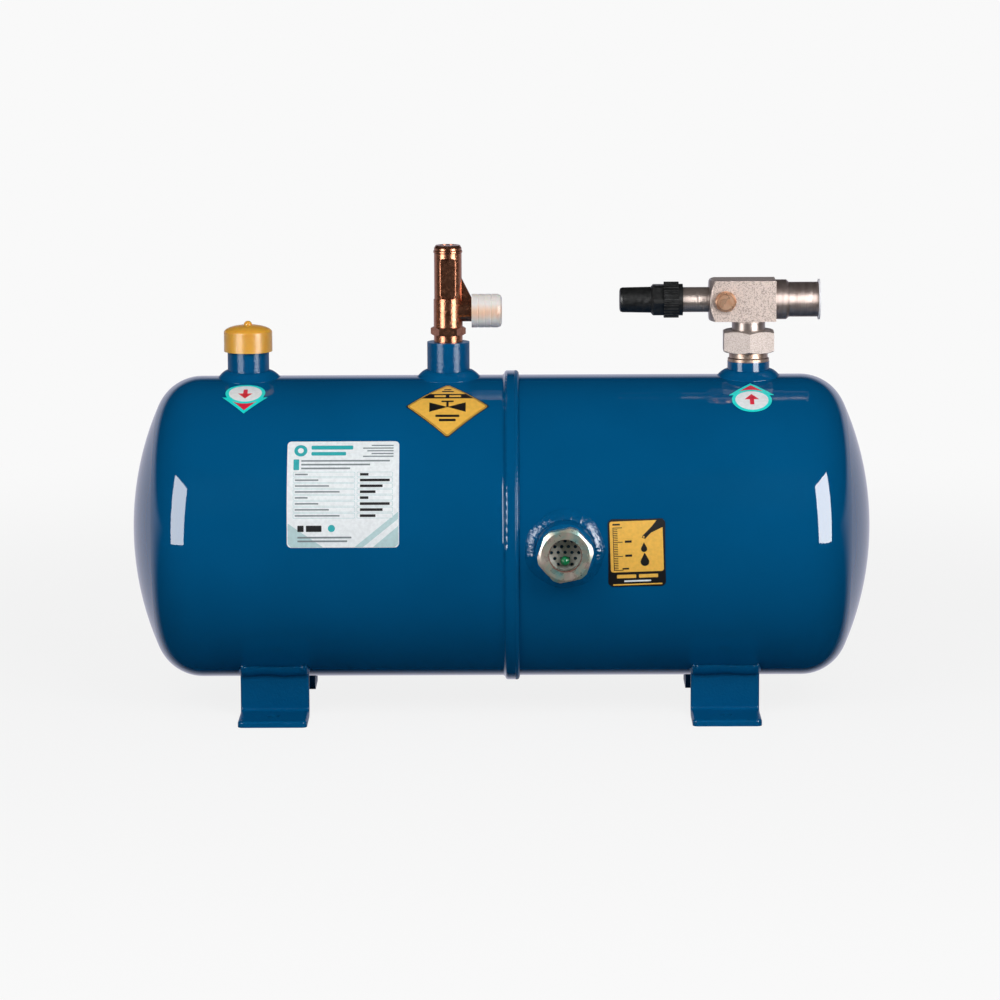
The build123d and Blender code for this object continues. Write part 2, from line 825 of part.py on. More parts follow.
# Outlet connector: the threaded stub that carries the service valve
groove_top = connector_collar_height + connector_groove_width
connector_bore = dip_tube_diameter / 2 + braze_gap
with BuildPart() as outlet_connector:
    turn_up(
        upright(outlet_x),
        (
            (connector_bore, -shell_wall - port_reach_inside),
            (connector_diameter / 2, -shell_wall - port_reach_inside),
            (connector_diameter / 2, connector_paint_height),
            (connector_collar_diameter / 2, connector_paint_height),
            (connector_collar_diameter / 2, connector_collar_height - connector_groove_slope),
            (connector_groove_diameter / 2, connector_collar_height),
            (connector_groove_diameter / 2, groove_top - connector_groove_slope),
            (connector_thread_diameter / 2, groove_top),
            (connector_thread_diameter / 2, connector_height - thread_chamfer),
            (connector_thread_diameter / 2 - thread_chamfer, connector_height),
            (connector_bore, connector_height),
        ),
    )
keep(outlet_connector, "outlet_connector")

with BuildPart() as outlet_weld:
    port_weld(outlet_x, connector_diameter)
keep(outlet_weld, "outlet_weld")

# Dip tube: brazed in the connector, cut aslant near the floor of the vessel
dip_bottom = axis_height - tank_radius + shell_wall + dip_tube_floor_gap
with BuildPart() as dip_tube:
    with BuildSketch(level(outlet_x, dip_tube_top)):
        Circle(dip_tube_diameter / 2)
        Circle(dip_tube_diameter / 2 - dip_tube_wall, mode=Mode.SUBTRACT)
    extrude(amount=-(tank_top + dip_tube_top - dip_bottom))
    slope = dip_tube_diameter * tan(radians(dip_tube_cut_angle))
    with BuildSketch(Plane(origin=(outlet_x, 0, dip_bottom), x_dir=(1, 0, 0), z_dir=(0, -1, 0))):
        Polygon(
            (-dip_tube_diameter / 2, slope),
            (-dip_tube_diameter, slope),
            (-dip_tube_diameter, 0),
            (dip_tube_diameter / 2, 0),
            align=None,
        )
    extrude(amount=dip_tube_diameter, both=True, mode=Mode.SUBTRACT)
keep(dip_tube, "dip_tube")

# Union gasket between the connector and the valve
with BuildPart() as union_gasket:
    with BuildSketch(level(outlet_x, connector_height)):
        Circle(connector_bore + union_gasket_width)
        Circle(connector_bore, mode=Mode.SUBTRACT)
    extrude(amount=union_gasket_thickness)
keep(union_gasket, "union_gasket")

# Union nut: turned from hexagon bar, its lip holds the valve's flange
nut_corner = nut_flats / sqrt(3)
nut_top = nut_bottom + nut_height
nut_chamfer = (nut_corner - nut_flats / 2) * corner_slope
nut_bore = connector_thread_diameter / 2 + nut_thread_gap
neck_hole = valve_neck_diameter / 2 + valve_neck_gap
with BuildPart() as union_nut:
    with BuildSketch(level(outlet_x, nut_bottom)):
        RegularPolygon(nut_flats / 2, 6, major_radius=False, rotation=30)
    extrude(amount=nut_height)
    turn_up(
        upright(outlet_x),
        (
            (0, nut_bottom),
            (nut_flats / 2 - nut_face_inset, nut_bottom),
            (nut_corner, nut_bottom + nut_chamfer),
            (nut_corner, nut_top - nut_chamfer),
            (nut_flats / 2 - nut_face_inset, nut_top),
            (0, nut_top),
        ),
        mode=Mode.INTERSECT,
    )
    turn_up(
        upright(outlet_x),
        (
            (0, nut_bottom),
            (nut_bore, nut_bottom),
            (nut_bore, nut_top - nut_lip),
            (neck_hole, nut_top - nut_lip),
            (neck_hole, nut_top),
            (0, nut_top),
        ),
        mode=Mode.SUBTRACT,
    )
keep(union_nut, "union_nut")

# Service valve body: a square steel block with a turned neck below and a turned stem tube on its left
flange_top = gasket_top + valve_flange_thickness
block_corner = block_size / sqrt(2)
chamber_left = -back_seat
annulus_left = chamber_left - gauge_annulus_length
with BuildPart() as valve_body:
    with BuildSketch(facing_right(-block_left)):
        Rectangle(block_size, block_size)
    extrude(amount=block_left + block_right)
    turn_along(
        valve_plane,
        (
            (-block_left, 0),
            (-block_left, block_end_radius),
            (-block_left + block_end_taper, block_corner),
            (block_right, block_corner),
            (block_right, 0),
        ),
        mode=Mode.INTERSECT,
    )
    turn_along(
        valve_plane,
        (
            (-stem_tube_end, 0),
            (-stem_tube_end, stem_tube_diameter / 2),
            (-block_left, stem_tube_diameter / 2),
            (0, stem_tube_diameter / 2),
            (0, 0),
        ),
    )
    turn_up(
        upright(outlet_x),
        (
            (0, gasket_top),
            (valve_flange_diameter / 2, gasket_top),
            (valve_flange_diameter / 2, flange_top),
            (valve_neck_diameter / 2, flange_top),
            (valve_neck_diameter / 2, valve_axis),
            (0, valve_axis),
        ),
    )
    turn_up(
        upright(outlet_x),
        (
            (0, gasket_top),
            (valve_port_diameter / 2, gasket_top),
            (valve_port_diameter / 2, valve_axis),
            (0, valve_axis),
        ),
        mode=Mode.SUBTRACT,
    )
    turn_along(
        valve_plane,
        (
            (-stem_tube_end, 0),
            (-stem_tube_end, packing_bore_diameter / 2),
            (-packing_shoulder, packing_bore_diameter / 2),
            (-packing_shoulder, stem_thread_diameter / 2 + thread_fit),
            (annulus_left, stem_thread_diameter / 2 + thread_fit),
            (annulus_left, gauge_annulus_diameter / 2),
            (chamber_left, gauge_annulus_diameter / 2),
            (chamber_left, chamber_diameter / 2),
            (block_right, chamber_diameter / 2),
            (block_right, 0),
        ),
        mode=Mode.SUBTRACT,
    )
    turn_along(
        gauge_plane,
        (
            (0, 0),
            (0, gauge_bore_diameter / 2),
            (block_size / 2 - gauge_thread_length - thread_fit, gauge_bore_diameter / 2),
            (block_size / 2 - gauge_thread_length - thread_fit, gauge_thread_diameter / 2 + thread_fit),
            (block_size / 2, gauge_thread_diameter / 2 + thread_fit),
            (block_size / 2, 0),
        ),
        mode=Mode.SUBTRACT,
    )
keep(valve_body, "valve_body")

# Valve disc: carried on the spindle's nose, it does not turn
disc_left = chamber_left + seat_gap
disc_right = disc_left + valve_disc_thickness
nose_hole = spindle_nose_diameter / 2 + stem_fit / 2
nose_end = disc_left + spindle_nose_length
with BuildPart() as valve_disc:
    turn_along(
        valve_plane,
        (
            (disc_left, nose_hole),
            (disc_left, valve_disc_diameter / 2 - valve_disc_chamfer),
            (disc_left + valve_disc_chamfer, valve_disc_diameter / 2),
            (disc_right - valve_disc_chamfer, valve_disc_diameter / 2),
            (disc_right, valve_disc_diameter / 2 - valve_disc_chamfer),
            (disc_right, 0),
            (nose_end + stem_fit, 0),
            (nose_end + stem_fit, nose_hole),
        ),
    )
keep(valve_disc, "valve_disc")

# Spindle: threaded in the body, with a square end for a key
thread_left = -stem_thread_start
thread_right = thread_left + stem_thread_length
with BuildPart() as spindle:
    turn_along(
        valve_plane,
        (
            (-spindle_end, 0),
            (-spindle_end, spindle_diameter / 2),
            (thread_left, spindle_diameter / 2),
            (thread_left, stem_thread_diameter / 2),
            (thread_right, stem_thread_diameter / 2),
            (thread_right, spindle_diameter / 2),
            (disc_left - stem_fit, spindle_diameter / 2),
            (disc_left - stem_fit, spindle_nose_diameter / 2),
            (nose_end, spindle_nose_diameter / 2),
            (nose_end, 0),
        ),
    )
    with BuildSketch(facing_right(-spindle_end)):
        Circle(spindle_diameter)
        Rectangle(spindle_square, spindle_square, mode=Mode.SUBTRACT)
    extrude(amount=spindle_square_length, mode=Mode.SUBTRACT)
keep(spindle, "spindle")

# Stem packing and the gland nut that squeezes it
packing_left = -packing_shoulder - packing_length
packing_radius = packing_bore_diameter / 2 - thread_fit
spindle_hole = spindle_diameter / 2 + stem_fit
with BuildPart() as stem_packing:
    turn_along(
        valve_plane,
        (
            (packing_left, spindle_hole),
            (packing_left, packing_radius),
            (-packing_shoulder, packing_radius),
            (-packing_shoulder, spindle_hole),
        ),
    )
keep(stem_packing, "stem_packing")

with BuildPart() as gland_nut:
    with BuildSketch(facing_right(-stem_tube_end - gland_head_length)):
        RegularPolygon(gland_head_flats / 2, 6, major_radius=False)
    extrude(amount=gland_head_length)
    with BuildSketch(facing_right(-stem_tube_end)):
        Circle(packing_radius)
    extrude(amount=packing_left + stem_tube_end)
    with BuildSketch(facing_right(-stem_tube_end - gland_head_length)):
        Circle(spindle_hole)
    extrude(amount=2 * gland_head_length + packing_length + stem_tube_end, mode=Mode.SUBTRACT)
keep(gland_nut, "gland_nut")

# Outlet tube: brazed into the block, its inner end is the front seat, its outer end a solder socket
with BuildPart() as outlet_tube:
    turn_along(
        valve_plane,
        (
            (front_seat, tube_seat_bore / 2),
            (front_seat, chamber_diameter / 2 - braze_gap),
            (block_right, chamber_diameter / 2 - braze_gap),
            (block_right, tube_shoulder_diameter / 2),
            (tube_shoulder_end, tube_shoulder_diameter / 2),
            (tube_taper_end, tube_diameter / 2),
            (tube_end, tube_diameter / 2),
            (tube_end, tube_socket_diameter / 2),
            (tube_end - tube_socket_depth, tube_socket_diameter / 2),
            (tube_end - tube_socket_depth, tube_seat_bore / 2),
        ),
    )
keep(outlet_tube, "outlet_tube")

# End plug: a thin moulded plug pushed into the outlet tube
plug_radius = tube_socket_diameter / 2 - plug_grip
with BuildPart() as outlet_end_plug:
    turn_along(
        valve_plane,
        (
            (tube_end - plug_reach, plug_radius - plug_wall),
            (tube_end - plug_reach, plug_radius),
            (tube_end, plug_radius),
            (tube_end, plug_flange_diameter / 2),
            (tube_end + plug_flange_thickness, plug_flange_diameter / 2),
            (tube_end + plug_flange_thickness, 0),
            (tube_end, 0),
            (tube_end, plug_radius - plug_wall),
        ),
    )
keep(outlet_end_plug, "outlet_end_plug")

# Stem cap: moulded black plastic with a knurled ring, six flats and a long nose over the spindle
cap_bore_radius = stem_tube_diameter / 2 + cap_thread_gap
seal_left = -stem_tube_end - cap_seal_thickness
nose_end_radius = cap_nose_diameter / 2 - cap_nose_draft
with BuildPart() as stem_cap:
    with BuildSketch(facing_right(-cap_hex_end)):
        RegularPolygon(cap_hex_flats / 2, 6, major_radius=False)
    extrude(amount=cap_hex_end - cap_knurl_end)
    turn_along(
        valve_plane,
        (
            (-cap_hex_end, 0),
            (-cap_hex_end, cap_nose_diameter / 2),
            (-cap_hex_end + cap_hex_taper, cap_hex_diameter / 2),
            (-cap_knurl_end, cap_hex_diameter / 2),
            (-cap_knurl_end, 0),
        ),
        mode=Mode.INTERSECT,
    )
    with BuildSketch(facing_right(-cap_knurl_end)):
        Circle(cap_knurl_diameter / 2)
        with PolarLocations(cap_knurl_diameter / 2, cap_knurl_count):
            Circle(cap_knurl_depth, mode=Mode.SUBTRACT)
    extrude(amount=cap_knurl_end - cap_lip_end)
    turn_along(
        valve_plane,
        (
            (-cap_lip_end, 0),
            (-cap_lip_end, cap_lip_diameter / 2),
            (-cap_mouth, cap_lip_diameter / 2),
            (-cap_mouth, 0),
        ),
    )
    turn_along(
        valve_plane,
        (
            (-cap_nose_end, 0),
            (-cap_nose_end, nose_end_radius - cap_nose_round),
            (-cap_nose_end + cap_nose_round * round_inset, nose_end_radius - cap_nose_round * round_inset),
            (-cap_nose_end + cap_nose_round, nose_end_radius),
            (-cap_hex_end, cap_nose_diameter / 2),
            (-cap_hex_end, 0),
        ),
    )
    turn_along(
        valve_plane,
        (
            (-cap_mouth, 0),
            (-cap_mouth, cap_bore_radius),
            (seal_left, cap_bore_radius),
            (seal_left, cap_gland_room / 2),
            (-cap_step, cap_gland_room / 2),
            (-cap_step, cap_spindle_room / 2),
            (-cap_nose_end + cap_end_wall, cap_spindle_room / 2),
            (-cap_nose_end + cap_end_wall, 0),
        ),
        mode=Mode.SUBTRACT,
    )
keep(stem_cap, "stem_cap")

# Stem cap seal: a flat ring between the cap and the end of the stem tube
with BuildPart() as stem_cap_seal:
    with BuildSketch(facing_right(seal_left)):
        Circle(cap_bore_radius - cap_thread_gap / 2)
        Circle(cap_seal_bore / 2, mode=Mode.SUBTRACT)
    extrude(amount=cap_seal_thickness)
keep(stem_cap_seal, "stem_cap_seal")

# Gauge port plug and its copper washer, on the front of the block
washer_front = block_size / 2 + gauge_washer_thickness
hex_front = washer_front + gauge_hex_height
with BuildPart() as gauge_washer:
    turn_along(
        gauge_plane,
        (
            (block_size / 2, gauge_thread_diameter / 2 + thread_fit),
            (block_size / 2, gauge_washer_diameter / 2),
            (washer_front, gauge_washer_diameter / 2),
            (washer_front, gauge_thread_diameter / 2 + thread_fit),
        ),
    )
keep(gauge_washer, "gauge_washer")

with BuildPart() as gauge_plug:
    with BuildSketch(facing_front(outlet_x - gauge_x, washer_front, valve_level)):
        RegularPolygon(gauge_hex_flats / 2, 6, major_radius=False)
    extrude(amount=gauge_hex_height)
    turn_along(
        gauge_plane,
        (
            (washer_front, 0),
            (washer_front, gauge_hex_flats / sqrt(3)),
            (hex_front - gauge_hex_chamfer, gauge_hex_flats / sqrt(3)),
            (hex_front, gauge_hex_flats / 2),
            (hex_front, 0),
        ),
        mode=Mode.INTERSECT,
    )
    turn_along(
        gauge_plane,
        (
            (block_size / 2 - gauge_thread_length, 0),
            (block_size / 2 - gauge_thread_length, gauge_thread_diameter / 2),
            (hex_front, gauge_thread_diameter / 2),
            (hex_front, gauge_face_diameter / 2),
            (hex_front + gauge_face_height - gauge_face_chamfer, gauge_face_diameter / 2),
            (hex_front + gauge_face_height, gauge_face_diameter / 2 - gauge_face_chamfer),
            (hex_front + gauge_face_height, 0),
        ),
    )
keep(gauge_plug, "gauge_plug")

# Sight glass boss: a threaded round welded into the front of the right shell
sight_boss_back = tank_radius - shell_wall - sight_boss_reach_inside
with BuildPart() as sight_boss:
    turn_along(
        sight_plane,
        (
            (sight_boss_back, sight_thread_diameter / 2 + thread_fit),
            (sight_boss_back, sight_boss_diameter / 2),
            (sight_boss_face - sight_boss_chamfer, sight_boss_diameter / 2),
            (sight_boss_face, sight_boss_diameter / 2 - sight_boss_chamfer),
            (sight_boss_face, sight_thread_diameter / 2 + thread_fit),
        ),
    )
keep(sight_boss, "sight_boss")

sight_weld_inner = sight_boss_diameter / 2
sight_weld_outer = sight_weld_inner + sight_weld_reach
with BuildPart() as sight_weld:
    turn_along(
        sight_plane,
        (
            (tank_radius + sight_weld_height, sight_weld_inner),
            (tank_radius + sight_weld_waist_height, sight_weld_inner + sight_weld_waist_reach),
            (tank_radius - sight_weld_waist_height, sight_weld_outer),
            (tank_radius - sight_weld_height, sight_weld_outer),
            (tank_radius - sight_weld_height, sight_weld_inner),
        ),
    )
    trim_to_vessel()
keep(sight_weld, "sight_weld")

# Sight plug: plated steel with a hexagon of turned-off corners, stepped inside for the glass
sight_front = sight_boss_face + sight_plug_head
glass_front = sight_front - sight_lip - sight_gasket_thickness
glass_back = glass_front - sight_glass_thickness
plug_bore = sight_bore_diameter / 2
with BuildPart() as sight_plug:
    with BuildSketch(facing_front(sight_x, sight_boss_face, axis_height)):
        RegularPolygon(sight_plug_flats / 2, 6, major_radius=False, rotation=sight_plug_turn)
    extrude(amount=sight_plug_head)
    turn_along(
        sight_plane,
        (
            (sight_boss_face, 0),
            (sight_boss_face, sight_plug_corners / 2),
            (sight_front - sight_plug_chamfer_depth, sight_plug_corners / 2),
            (sight_front, sight_plug_flats / 2 - sight_plug_chamfer_width),
            (sight_front, 0),
        ),
        mode=Mode.INTERSECT,
    )
    turn_along(
        sight_plane,
        (
            (sight_boss_face - sight_plug_shank, 0),
            (sight_boss_face - sight_plug_shank, sight_thread_diameter / 2),
            (sight_boss_face, sight_thread_diameter / 2),
            (sight_boss_face, 0),
        ),
    )
    turn_along(
        sight_plane,
        (
            (sight_boss_face - sight_plug_shank, 0),
            (sight_boss_face - sight_plug_shank, plug_bore),
            (sight_front - sight_lip, plug_bore),
            (sight_front - sight_lip, sight_window_diameter / 2),
            (sight_front, sight_window_diameter / 2),
            (sight_front, 0),
        ),
        mode=Mode.SUBTRACT,
    )
keep(sight_plug, "sight_plug")

# Sight glass and the gasket before it
with BuildPart() as sight_gasket:
    with BuildSketch(facing_front(sight_x, glass_front, axis_height)):
        Circle(plug_bore - sight_fit)
        Circle(sight_window_diameter / 2 - sight_gasket_lip, mode=Mode.SUBTRACT)
    extrude(amount=sight_gasket_thickness)
keep(sight_gasket, "sight_gasket")

with BuildPart() as sight_glass:
    with BuildSketch(facing_front(sight_x, glass_back, axis_height)):
        Circle(plug_bore - sight_fit)
    extrude(amount=sight_glass_thickness)
keep(sight_glass, "sight_glass")

# Float ball: it rests low between the glass and the dished screen, and lifts with the liquid
ball_radius = sight_ball_diameter / 2
ball_distance = glass_back - ball_radius - sight_ball_gap
with BuildPart() as float_ball:
    with Locations((sight_x, -ball_distance, axis_height - sight_ball_drop)):
        Sphere(ball_radius)
keep(float_ball, "float_ball")

# Screen: a dished plate with a hexagonal pattern of holes
dish_reach = sight_screen_radius - ball_radius - sight_ball_gap
dish_centre = ball_distance + sqrt(dish_reach**2 - sight_ball_drop**2)
screen_edge = plug_bore - sight_fit
screen_back_radius = sight_screen_radius + sight_screen_thickness
with BuildPart() as sight_screen:
    with Locations((sight_x, -dish_centre, axis_height)):
        Sphere(screen_back_radius)
        Sphere(sight_screen_radius, mode=Mode.SUBTRACT)
    with BuildSketch(facing_front(sight_x, sight_boss_back, axis_height)):
        Circle(screen_edge)
    extrude(amount=glass_back - sight_boss_back, mode=Mode.INTERSECT)
    with BuildSketch(facing_front(sight_x, sight_boss_back, axis_height)):
        for row in range(-sight_screen_rows, sight_screen_rows + 1):
            holes = 2 * sight_screen_rows + 1 - abs(row)
            for place in range(holes):
                across = (place - (holes - 1) / 2) * sight_screen_pitch
                with Locations((across, row * sight_screen_pitch * sqrt(3) / 2)):
                    Circle(sight_screen_hole / 2)
    extrude(amount=glass_back - sight_boss_back, mode=Mode.SUBTRACT)
keep(sight_screen, "sight_screen")

# Spacer: the ring that stands the screen off the glass
screen_rim = dish_centre - sqrt(sight_screen_radius**2 - screen_edge**2)
with BuildPart() as sight_spacer:
    with BuildSketch(facing_front(sight_x, screen_rim, axis_height)):
        Circle(screen_edge)
        Circle(screen_edge - sight_spacer_wall, mode=Mode.SUBTRACT)
    extrude(amount=glass_back - screen_rim)
keep(sight_spacer, "sight_spacer")

# Retainer: the ring screwed in behind the screen
retainer_bore = screen_edge - sight_retainer_wall
retainer_front = dish_centre - sqrt(screen_back_radius**2 - retainer_bore**2)
with BuildPart() as sight_retainer:
    with BuildSketch(facing_front(sight_x, retainer_front - sight_retainer_length, axis_height)):
        Circle(screen_edge)
        Circle(retainer_bore, mode=Mode.SUBTRACT)
    extrude(amount=sight_retainer_length)
keep(sight_retainer, "sight_retainer")


def label_plane(x, angle, turn=0):
    """The plane that touches the vessel at this angle above its front, seen square on."""
    lean = radians(angle)
    normal = (0, -cos(lean), sin(lean))
    origin = (x, tank_radius * normal[1], axis_height + tank_radius * normal[2])
    return Plane(origin=origin, x_dir=(1, 0, 0), z_dir=normal).rotated((0, 0, turn))


def chord(arc):
    """The straight height of a label that lies round the vessel over this length."""
    return 2 * tank_radius * sin(arc / 2 / tank_radius)


def wrap_to_vessel():
    """Keeps the thin skin of a block that lies on the vessel."""
    extrude(amount=tank_radius / 4, both=True)
    with Locations((0, 0, axis_height)):
        Cylinder(
            tank_radius + label_gap + label_thickness, tank_length, rotation=(0, 90, 0), mode=Mode.INTERSECT
        )
    trim_to_vessel(tank_radius + label_gap)


# Labels: printed film stuck on the painted shell
with BuildPart() as data_label:
    with BuildSketch(label_plane(data_label_x, data_label_angle)):
        RectangleRounded(data_label_width, chord(data_label_height), data_label_corner)
    wrap_to_vessel()
keep(data_label, "data_label")

for port, port_x, way in (("inlet", inlet_x, -1), ("outlet", outlet_x, 1)):
    with BuildPart() as arrow_label:
        with BuildSketch(label_plane(port_x, arrow_label_angle)):
            with Locations((0, way * (arrow_oval_height - arrow_label_height) / 2)):
                Ellipse(arrow_oval_width / 2, arrow_oval_height / 2)
            Polygon(
                (-arrow_label_width / 2, way * arrow_wing_offset),
                (arrow_label_width / 2, way * arrow_wing_offset),
                (0, way * chord(arrow_label_height) / 2),
                align=None,
            )
        wrap_to_vessel()
    keep(arrow_label, f"{port}_arrow_label")

with BuildPart() as relief_label:
    with BuildSketch(label_plane(relief_x, relief_label_angle)) as diamond:
        Polygon(
            (-relief_label_width / 2, 0),
            (0, -chord(relief_label_height) / 2),
            (relief_label_width / 2, 0),
            (0, chord(relief_label_height) / 2),
            align=None,
        )
        fillet(diamond.vertices(), relief_label_corner)
    wrap_to_vessel()
keep(relief_label, "relief_label")

with BuildPart() as level_label:
    with BuildSketch(label_plane(level_label_x, level_label_angle, level_label_turn)):
        RectangleRounded(level_label_width, chord(level_label_height), level_label_corner)
    wrap_to_vessel()
keep(level_label, "level_label")
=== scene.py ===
import random
from math import asin, cos, floor, pi, radians, sin, sqrt
import bmesh
import bpy
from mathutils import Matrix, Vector


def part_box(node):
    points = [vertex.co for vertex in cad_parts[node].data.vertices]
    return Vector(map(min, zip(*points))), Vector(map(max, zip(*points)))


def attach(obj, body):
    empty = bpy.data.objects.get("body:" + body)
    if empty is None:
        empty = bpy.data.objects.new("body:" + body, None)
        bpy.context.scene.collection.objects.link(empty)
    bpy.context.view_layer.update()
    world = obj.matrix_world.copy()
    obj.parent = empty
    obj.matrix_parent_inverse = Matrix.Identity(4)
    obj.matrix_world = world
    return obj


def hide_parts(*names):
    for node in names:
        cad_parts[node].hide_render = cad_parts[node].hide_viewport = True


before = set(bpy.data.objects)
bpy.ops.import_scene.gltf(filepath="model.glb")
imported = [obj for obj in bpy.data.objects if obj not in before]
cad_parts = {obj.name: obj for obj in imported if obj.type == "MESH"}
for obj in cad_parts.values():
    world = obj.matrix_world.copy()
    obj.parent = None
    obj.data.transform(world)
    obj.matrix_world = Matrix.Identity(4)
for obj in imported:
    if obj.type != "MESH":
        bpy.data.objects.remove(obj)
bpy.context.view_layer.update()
scene = bpy.context.scene
scene.view_settings.view_transform = "Standard"

# Studio: a pale floor that fades into a pale background, two soft lamps in front, and a tall
# strip on each side that only shows as a reflection. The camera stands where the photograph
# was taken, a little above the vessel's top and a long way off.
camera_place = (0.0124, -3.0687, 0.6316)
camera_tilt_down = 8.914
camera_turn_left = 0.186
camera_roll = 0.237
camera_lens = 153.5
camera_reach = 50
camera = bpy.data.objects.new("camera", bpy.data.cameras.new("camera"))
scene.collection.objects.link(camera)
camera.location = camera_place
camera.rotation_euler = (radians(90 - camera_tilt_down), radians(camera_roll), radians(camera_turn_left))
camera.data.lens = camera_lens
camera.data.clip_end = camera_reach
scene.camera = camera

lamp_aim = Vector((0, 0, 0.13))
soft_lamp_aside = 0.6
soft_lamp_forward = 1.32
soft_lamp_height = 1.06
soft_lamp_size = 0.9
strip_aside = 0.8
strip_forward = 0.77
strip_height = 0.42
strip_size = (0.58, 0.8)


def lamp_panel(name, place, width, height, brightness):
    """Hangs a rectangular lamp of this brightness, turned to face the vessel."""
    lamp = bpy.data.lights.new(name, "AREA")
    lamp.shape = "RECTANGLE"
    lamp.size = width
    lamp.size_y = height
    lamp.energy = brightness * pi * width * height
    holder = bpy.data.objects.new(name, lamp)
    scene.collection.objects.link(holder)
    holder.location = place
    holder.rotation_euler = (Vector(place) - lamp_aim).to_track_quat("Z", "Y").to_euler()
    return holder


for side, name, soft_brightness, strip_brightness in ((-1, "left", 3.7, 8.6), (1, "right", 4.6, 12.5)):
    soft_place = (side * soft_lamp_aside, -soft_lamp_forward, soft_lamp_height)
    soft_lamp = lamp_panel(f"{name}_soft_lamp", soft_place, soft_lamp_size, soft_lamp_size, soft_brightness)
    soft_lamp.visible_glossy = False
    strip_place = (side * strip_aside, -strip_forward, strip_height)
    strip = lamp_panel(f"{name}_strip", strip_place, *strip_size, strip_brightness)
    strip.visible_diffuse = False


# The room round it: white where it is looked at, and an even fill for the object. Reflections see a
# dark room with a bright wall behind the vessel, which fades out upwards and downwards.
def coordinates(tree, kind):
    """A place on a piece (Object) or a direction in the room (Generated), split into X, Y and Z."""
    place = tree.nodes.new("ShaderNodeTexCoord")
    split = tree.nodes.new("ShaderNodeSeparateXYZ")
    tree.links.new(place.outputs[kind], split.inputs[0])
    return split.outputs


def worked_out(tree, operation, *parts):
    """A number worked out from parts, each a plain number or what another node gives."""
    step = tree.nodes.new("ShaderNodeMath")
    step.operation = operation
    for socket, part in zip(step.inputs, parts):
        if isinstance(part, (int, float)):
            socket.default_value = part
        else:
            tree.links.new(part, socket)
    return step.outputs[0]


def faded(tree, value, start, end, low=0.0, high=1.0, kind="LINEAR"):
    """Turns a value that runs from start to end into one that runs from low to high."""
    span = tree.nodes.new("ShaderNodeMapRange")
    span.interpolation_type = kind
    span.inputs["From Min"].default_value = start
    span.inputs["From Max"].default_value = end
    span.inputs["To Min"].default_value = low
    span.inputs["To Max"].default_value = high
    tree.links.new(value, span.inputs["Value"])
    return span.outputs["Result"]


def either(tree, choice, first, second):
    """The first shader where the choice is 0, the second where it is 1."""
    mix = tree.nodes.new("ShaderNodeMixShader")
    tree.links.new(choice, mix.inputs["Fac"])
    tree.links.new(first, mix.inputs[1])
    tree.links.new(second, mix.inputs[2])
    return mix.outputs[0]


def looked_at(tree, rays):
    """1 for light that goes straight to the camera or through glass, 0 for all other light."""
    return worked_out(tree, "MAXIMUM", rays.outputs["Is Camera Ray"], rays.outputs["Is Transmission Ray"])


background_white = 0.947
room_fill = 0.24
wall_tint = (0.86, 0.85, 1.0, 1)
wall_fade_up = 3.2
wall_fade_down = 1.4
wall_start = -0.25
wall_full = 0.45
room_dark = 0.004
wall_bright = 0.72
world = bpy.data.worlds.new("studio")
scene.world = world
world.use_nodes = True
tree = world.node_tree
tree.nodes.clear()
rays = tree.nodes.new("ShaderNodeLightPath")
way = coordinates(tree, "Generated")
above = worked_out(tree, "MAXIMUM", way["Z"], 0)
below = worked_out(tree, "MINIMUM", way["Z"], 0)
lowered = worked_out(tree, "MULTIPLY_ADD", above, -wall_fade_up, way["Y"])
narrowed = worked_out(tree, "MULTIPLY_ADD", below, wall_fade_down, lowered)
shown = tree.nodes.new("ShaderNodeBackground")
shown.inputs["Color"].default_value = (background_white, background_white, background_white, 1)
mirrored = tree.nodes.new("ShaderNodeBackground")
mirrored.inputs["Color"].default_value = wall_tint
wall_strength = faded(tree, narrowed, wall_start, wall_full, room_dark, wall_bright, "SMOOTHSTEP")
tree.links.new(wall_strength, mirrored.inputs["Strength"])
fill = tree.nodes.new("ShaderNodeBackground")
fill.inputs["Color"].default_value = (1, 1, 1, 1)
fill.inputs["Strength"].default_value = room_fill
around_object = either(tree, rays.outputs["Is Glossy Ray"], fill.outputs[0], mirrored.outputs[0])
whole_room = either(tree, looked_at(tree, rays), around_object, shown.outputs[0])
world_out = tree.nodes.new("ShaderNodeOutputWorld")
tree.links.new(whole_room, world_out.inputs["Surface"])

# Floor: a wide sheet just under the feet. It takes the vessel's shadow near by and turns into the
# background further out, and it throws a plain grey light back up on the vessel.
floor_size = 12.0
floor_drop = 0.0001
floor_fade_start = 0.5
floor_fade_end = 1.3
floor_shade = 0.10
floor_bounce = (0.55, 0.55, 0.56, 1)
half = floor_size / 2
floor_corners = [(-half, -half, 0), (half, -half, 0), (half, half, 0), (-half, half, 0)]
floor_mesh = bpy.data.meshes.new("floor")
floor_mesh.from_pydata(floor_corners, [], [(0, 1, 2, 3)])
floor_piece = bpy.data.objects.new("floor", floor_mesh)
scene.collection.objects.link(floor_piece)
floor_piece.location.z = -floor_drop
floor_piece.visible_glossy = False
floor_paint = bpy.data.materials.new("floor_paint")
floor_paint.use_nodes = True
tree = floor_paint.node_tree
tree.nodes.clear()
rays = tree.nodes.new("ShaderNodeLightPath")
place = tree.nodes.new("ShaderNodeTexCoord")
reach = tree.nodes.new("ShaderNodeVectorMath")
reach.operation = "LENGTH"
tree.links.new(place.outputs["Object"], reach.inputs[0])
fade = faded(tree, reach.outputs["Value"], floor_fade_start, floor_fade_end, kind="SMOOTHSTEP")
lit = tree.nodes.new("ShaderNodeBsdfDiffuse")
lit.inputs["Color"].default_value = (floor_shade, floor_shade, floor_shade, 1)
glow = tree.nodes.new("ShaderNodeEmission")
glow.inputs["Strength"].default_value = background_white - floor_shade
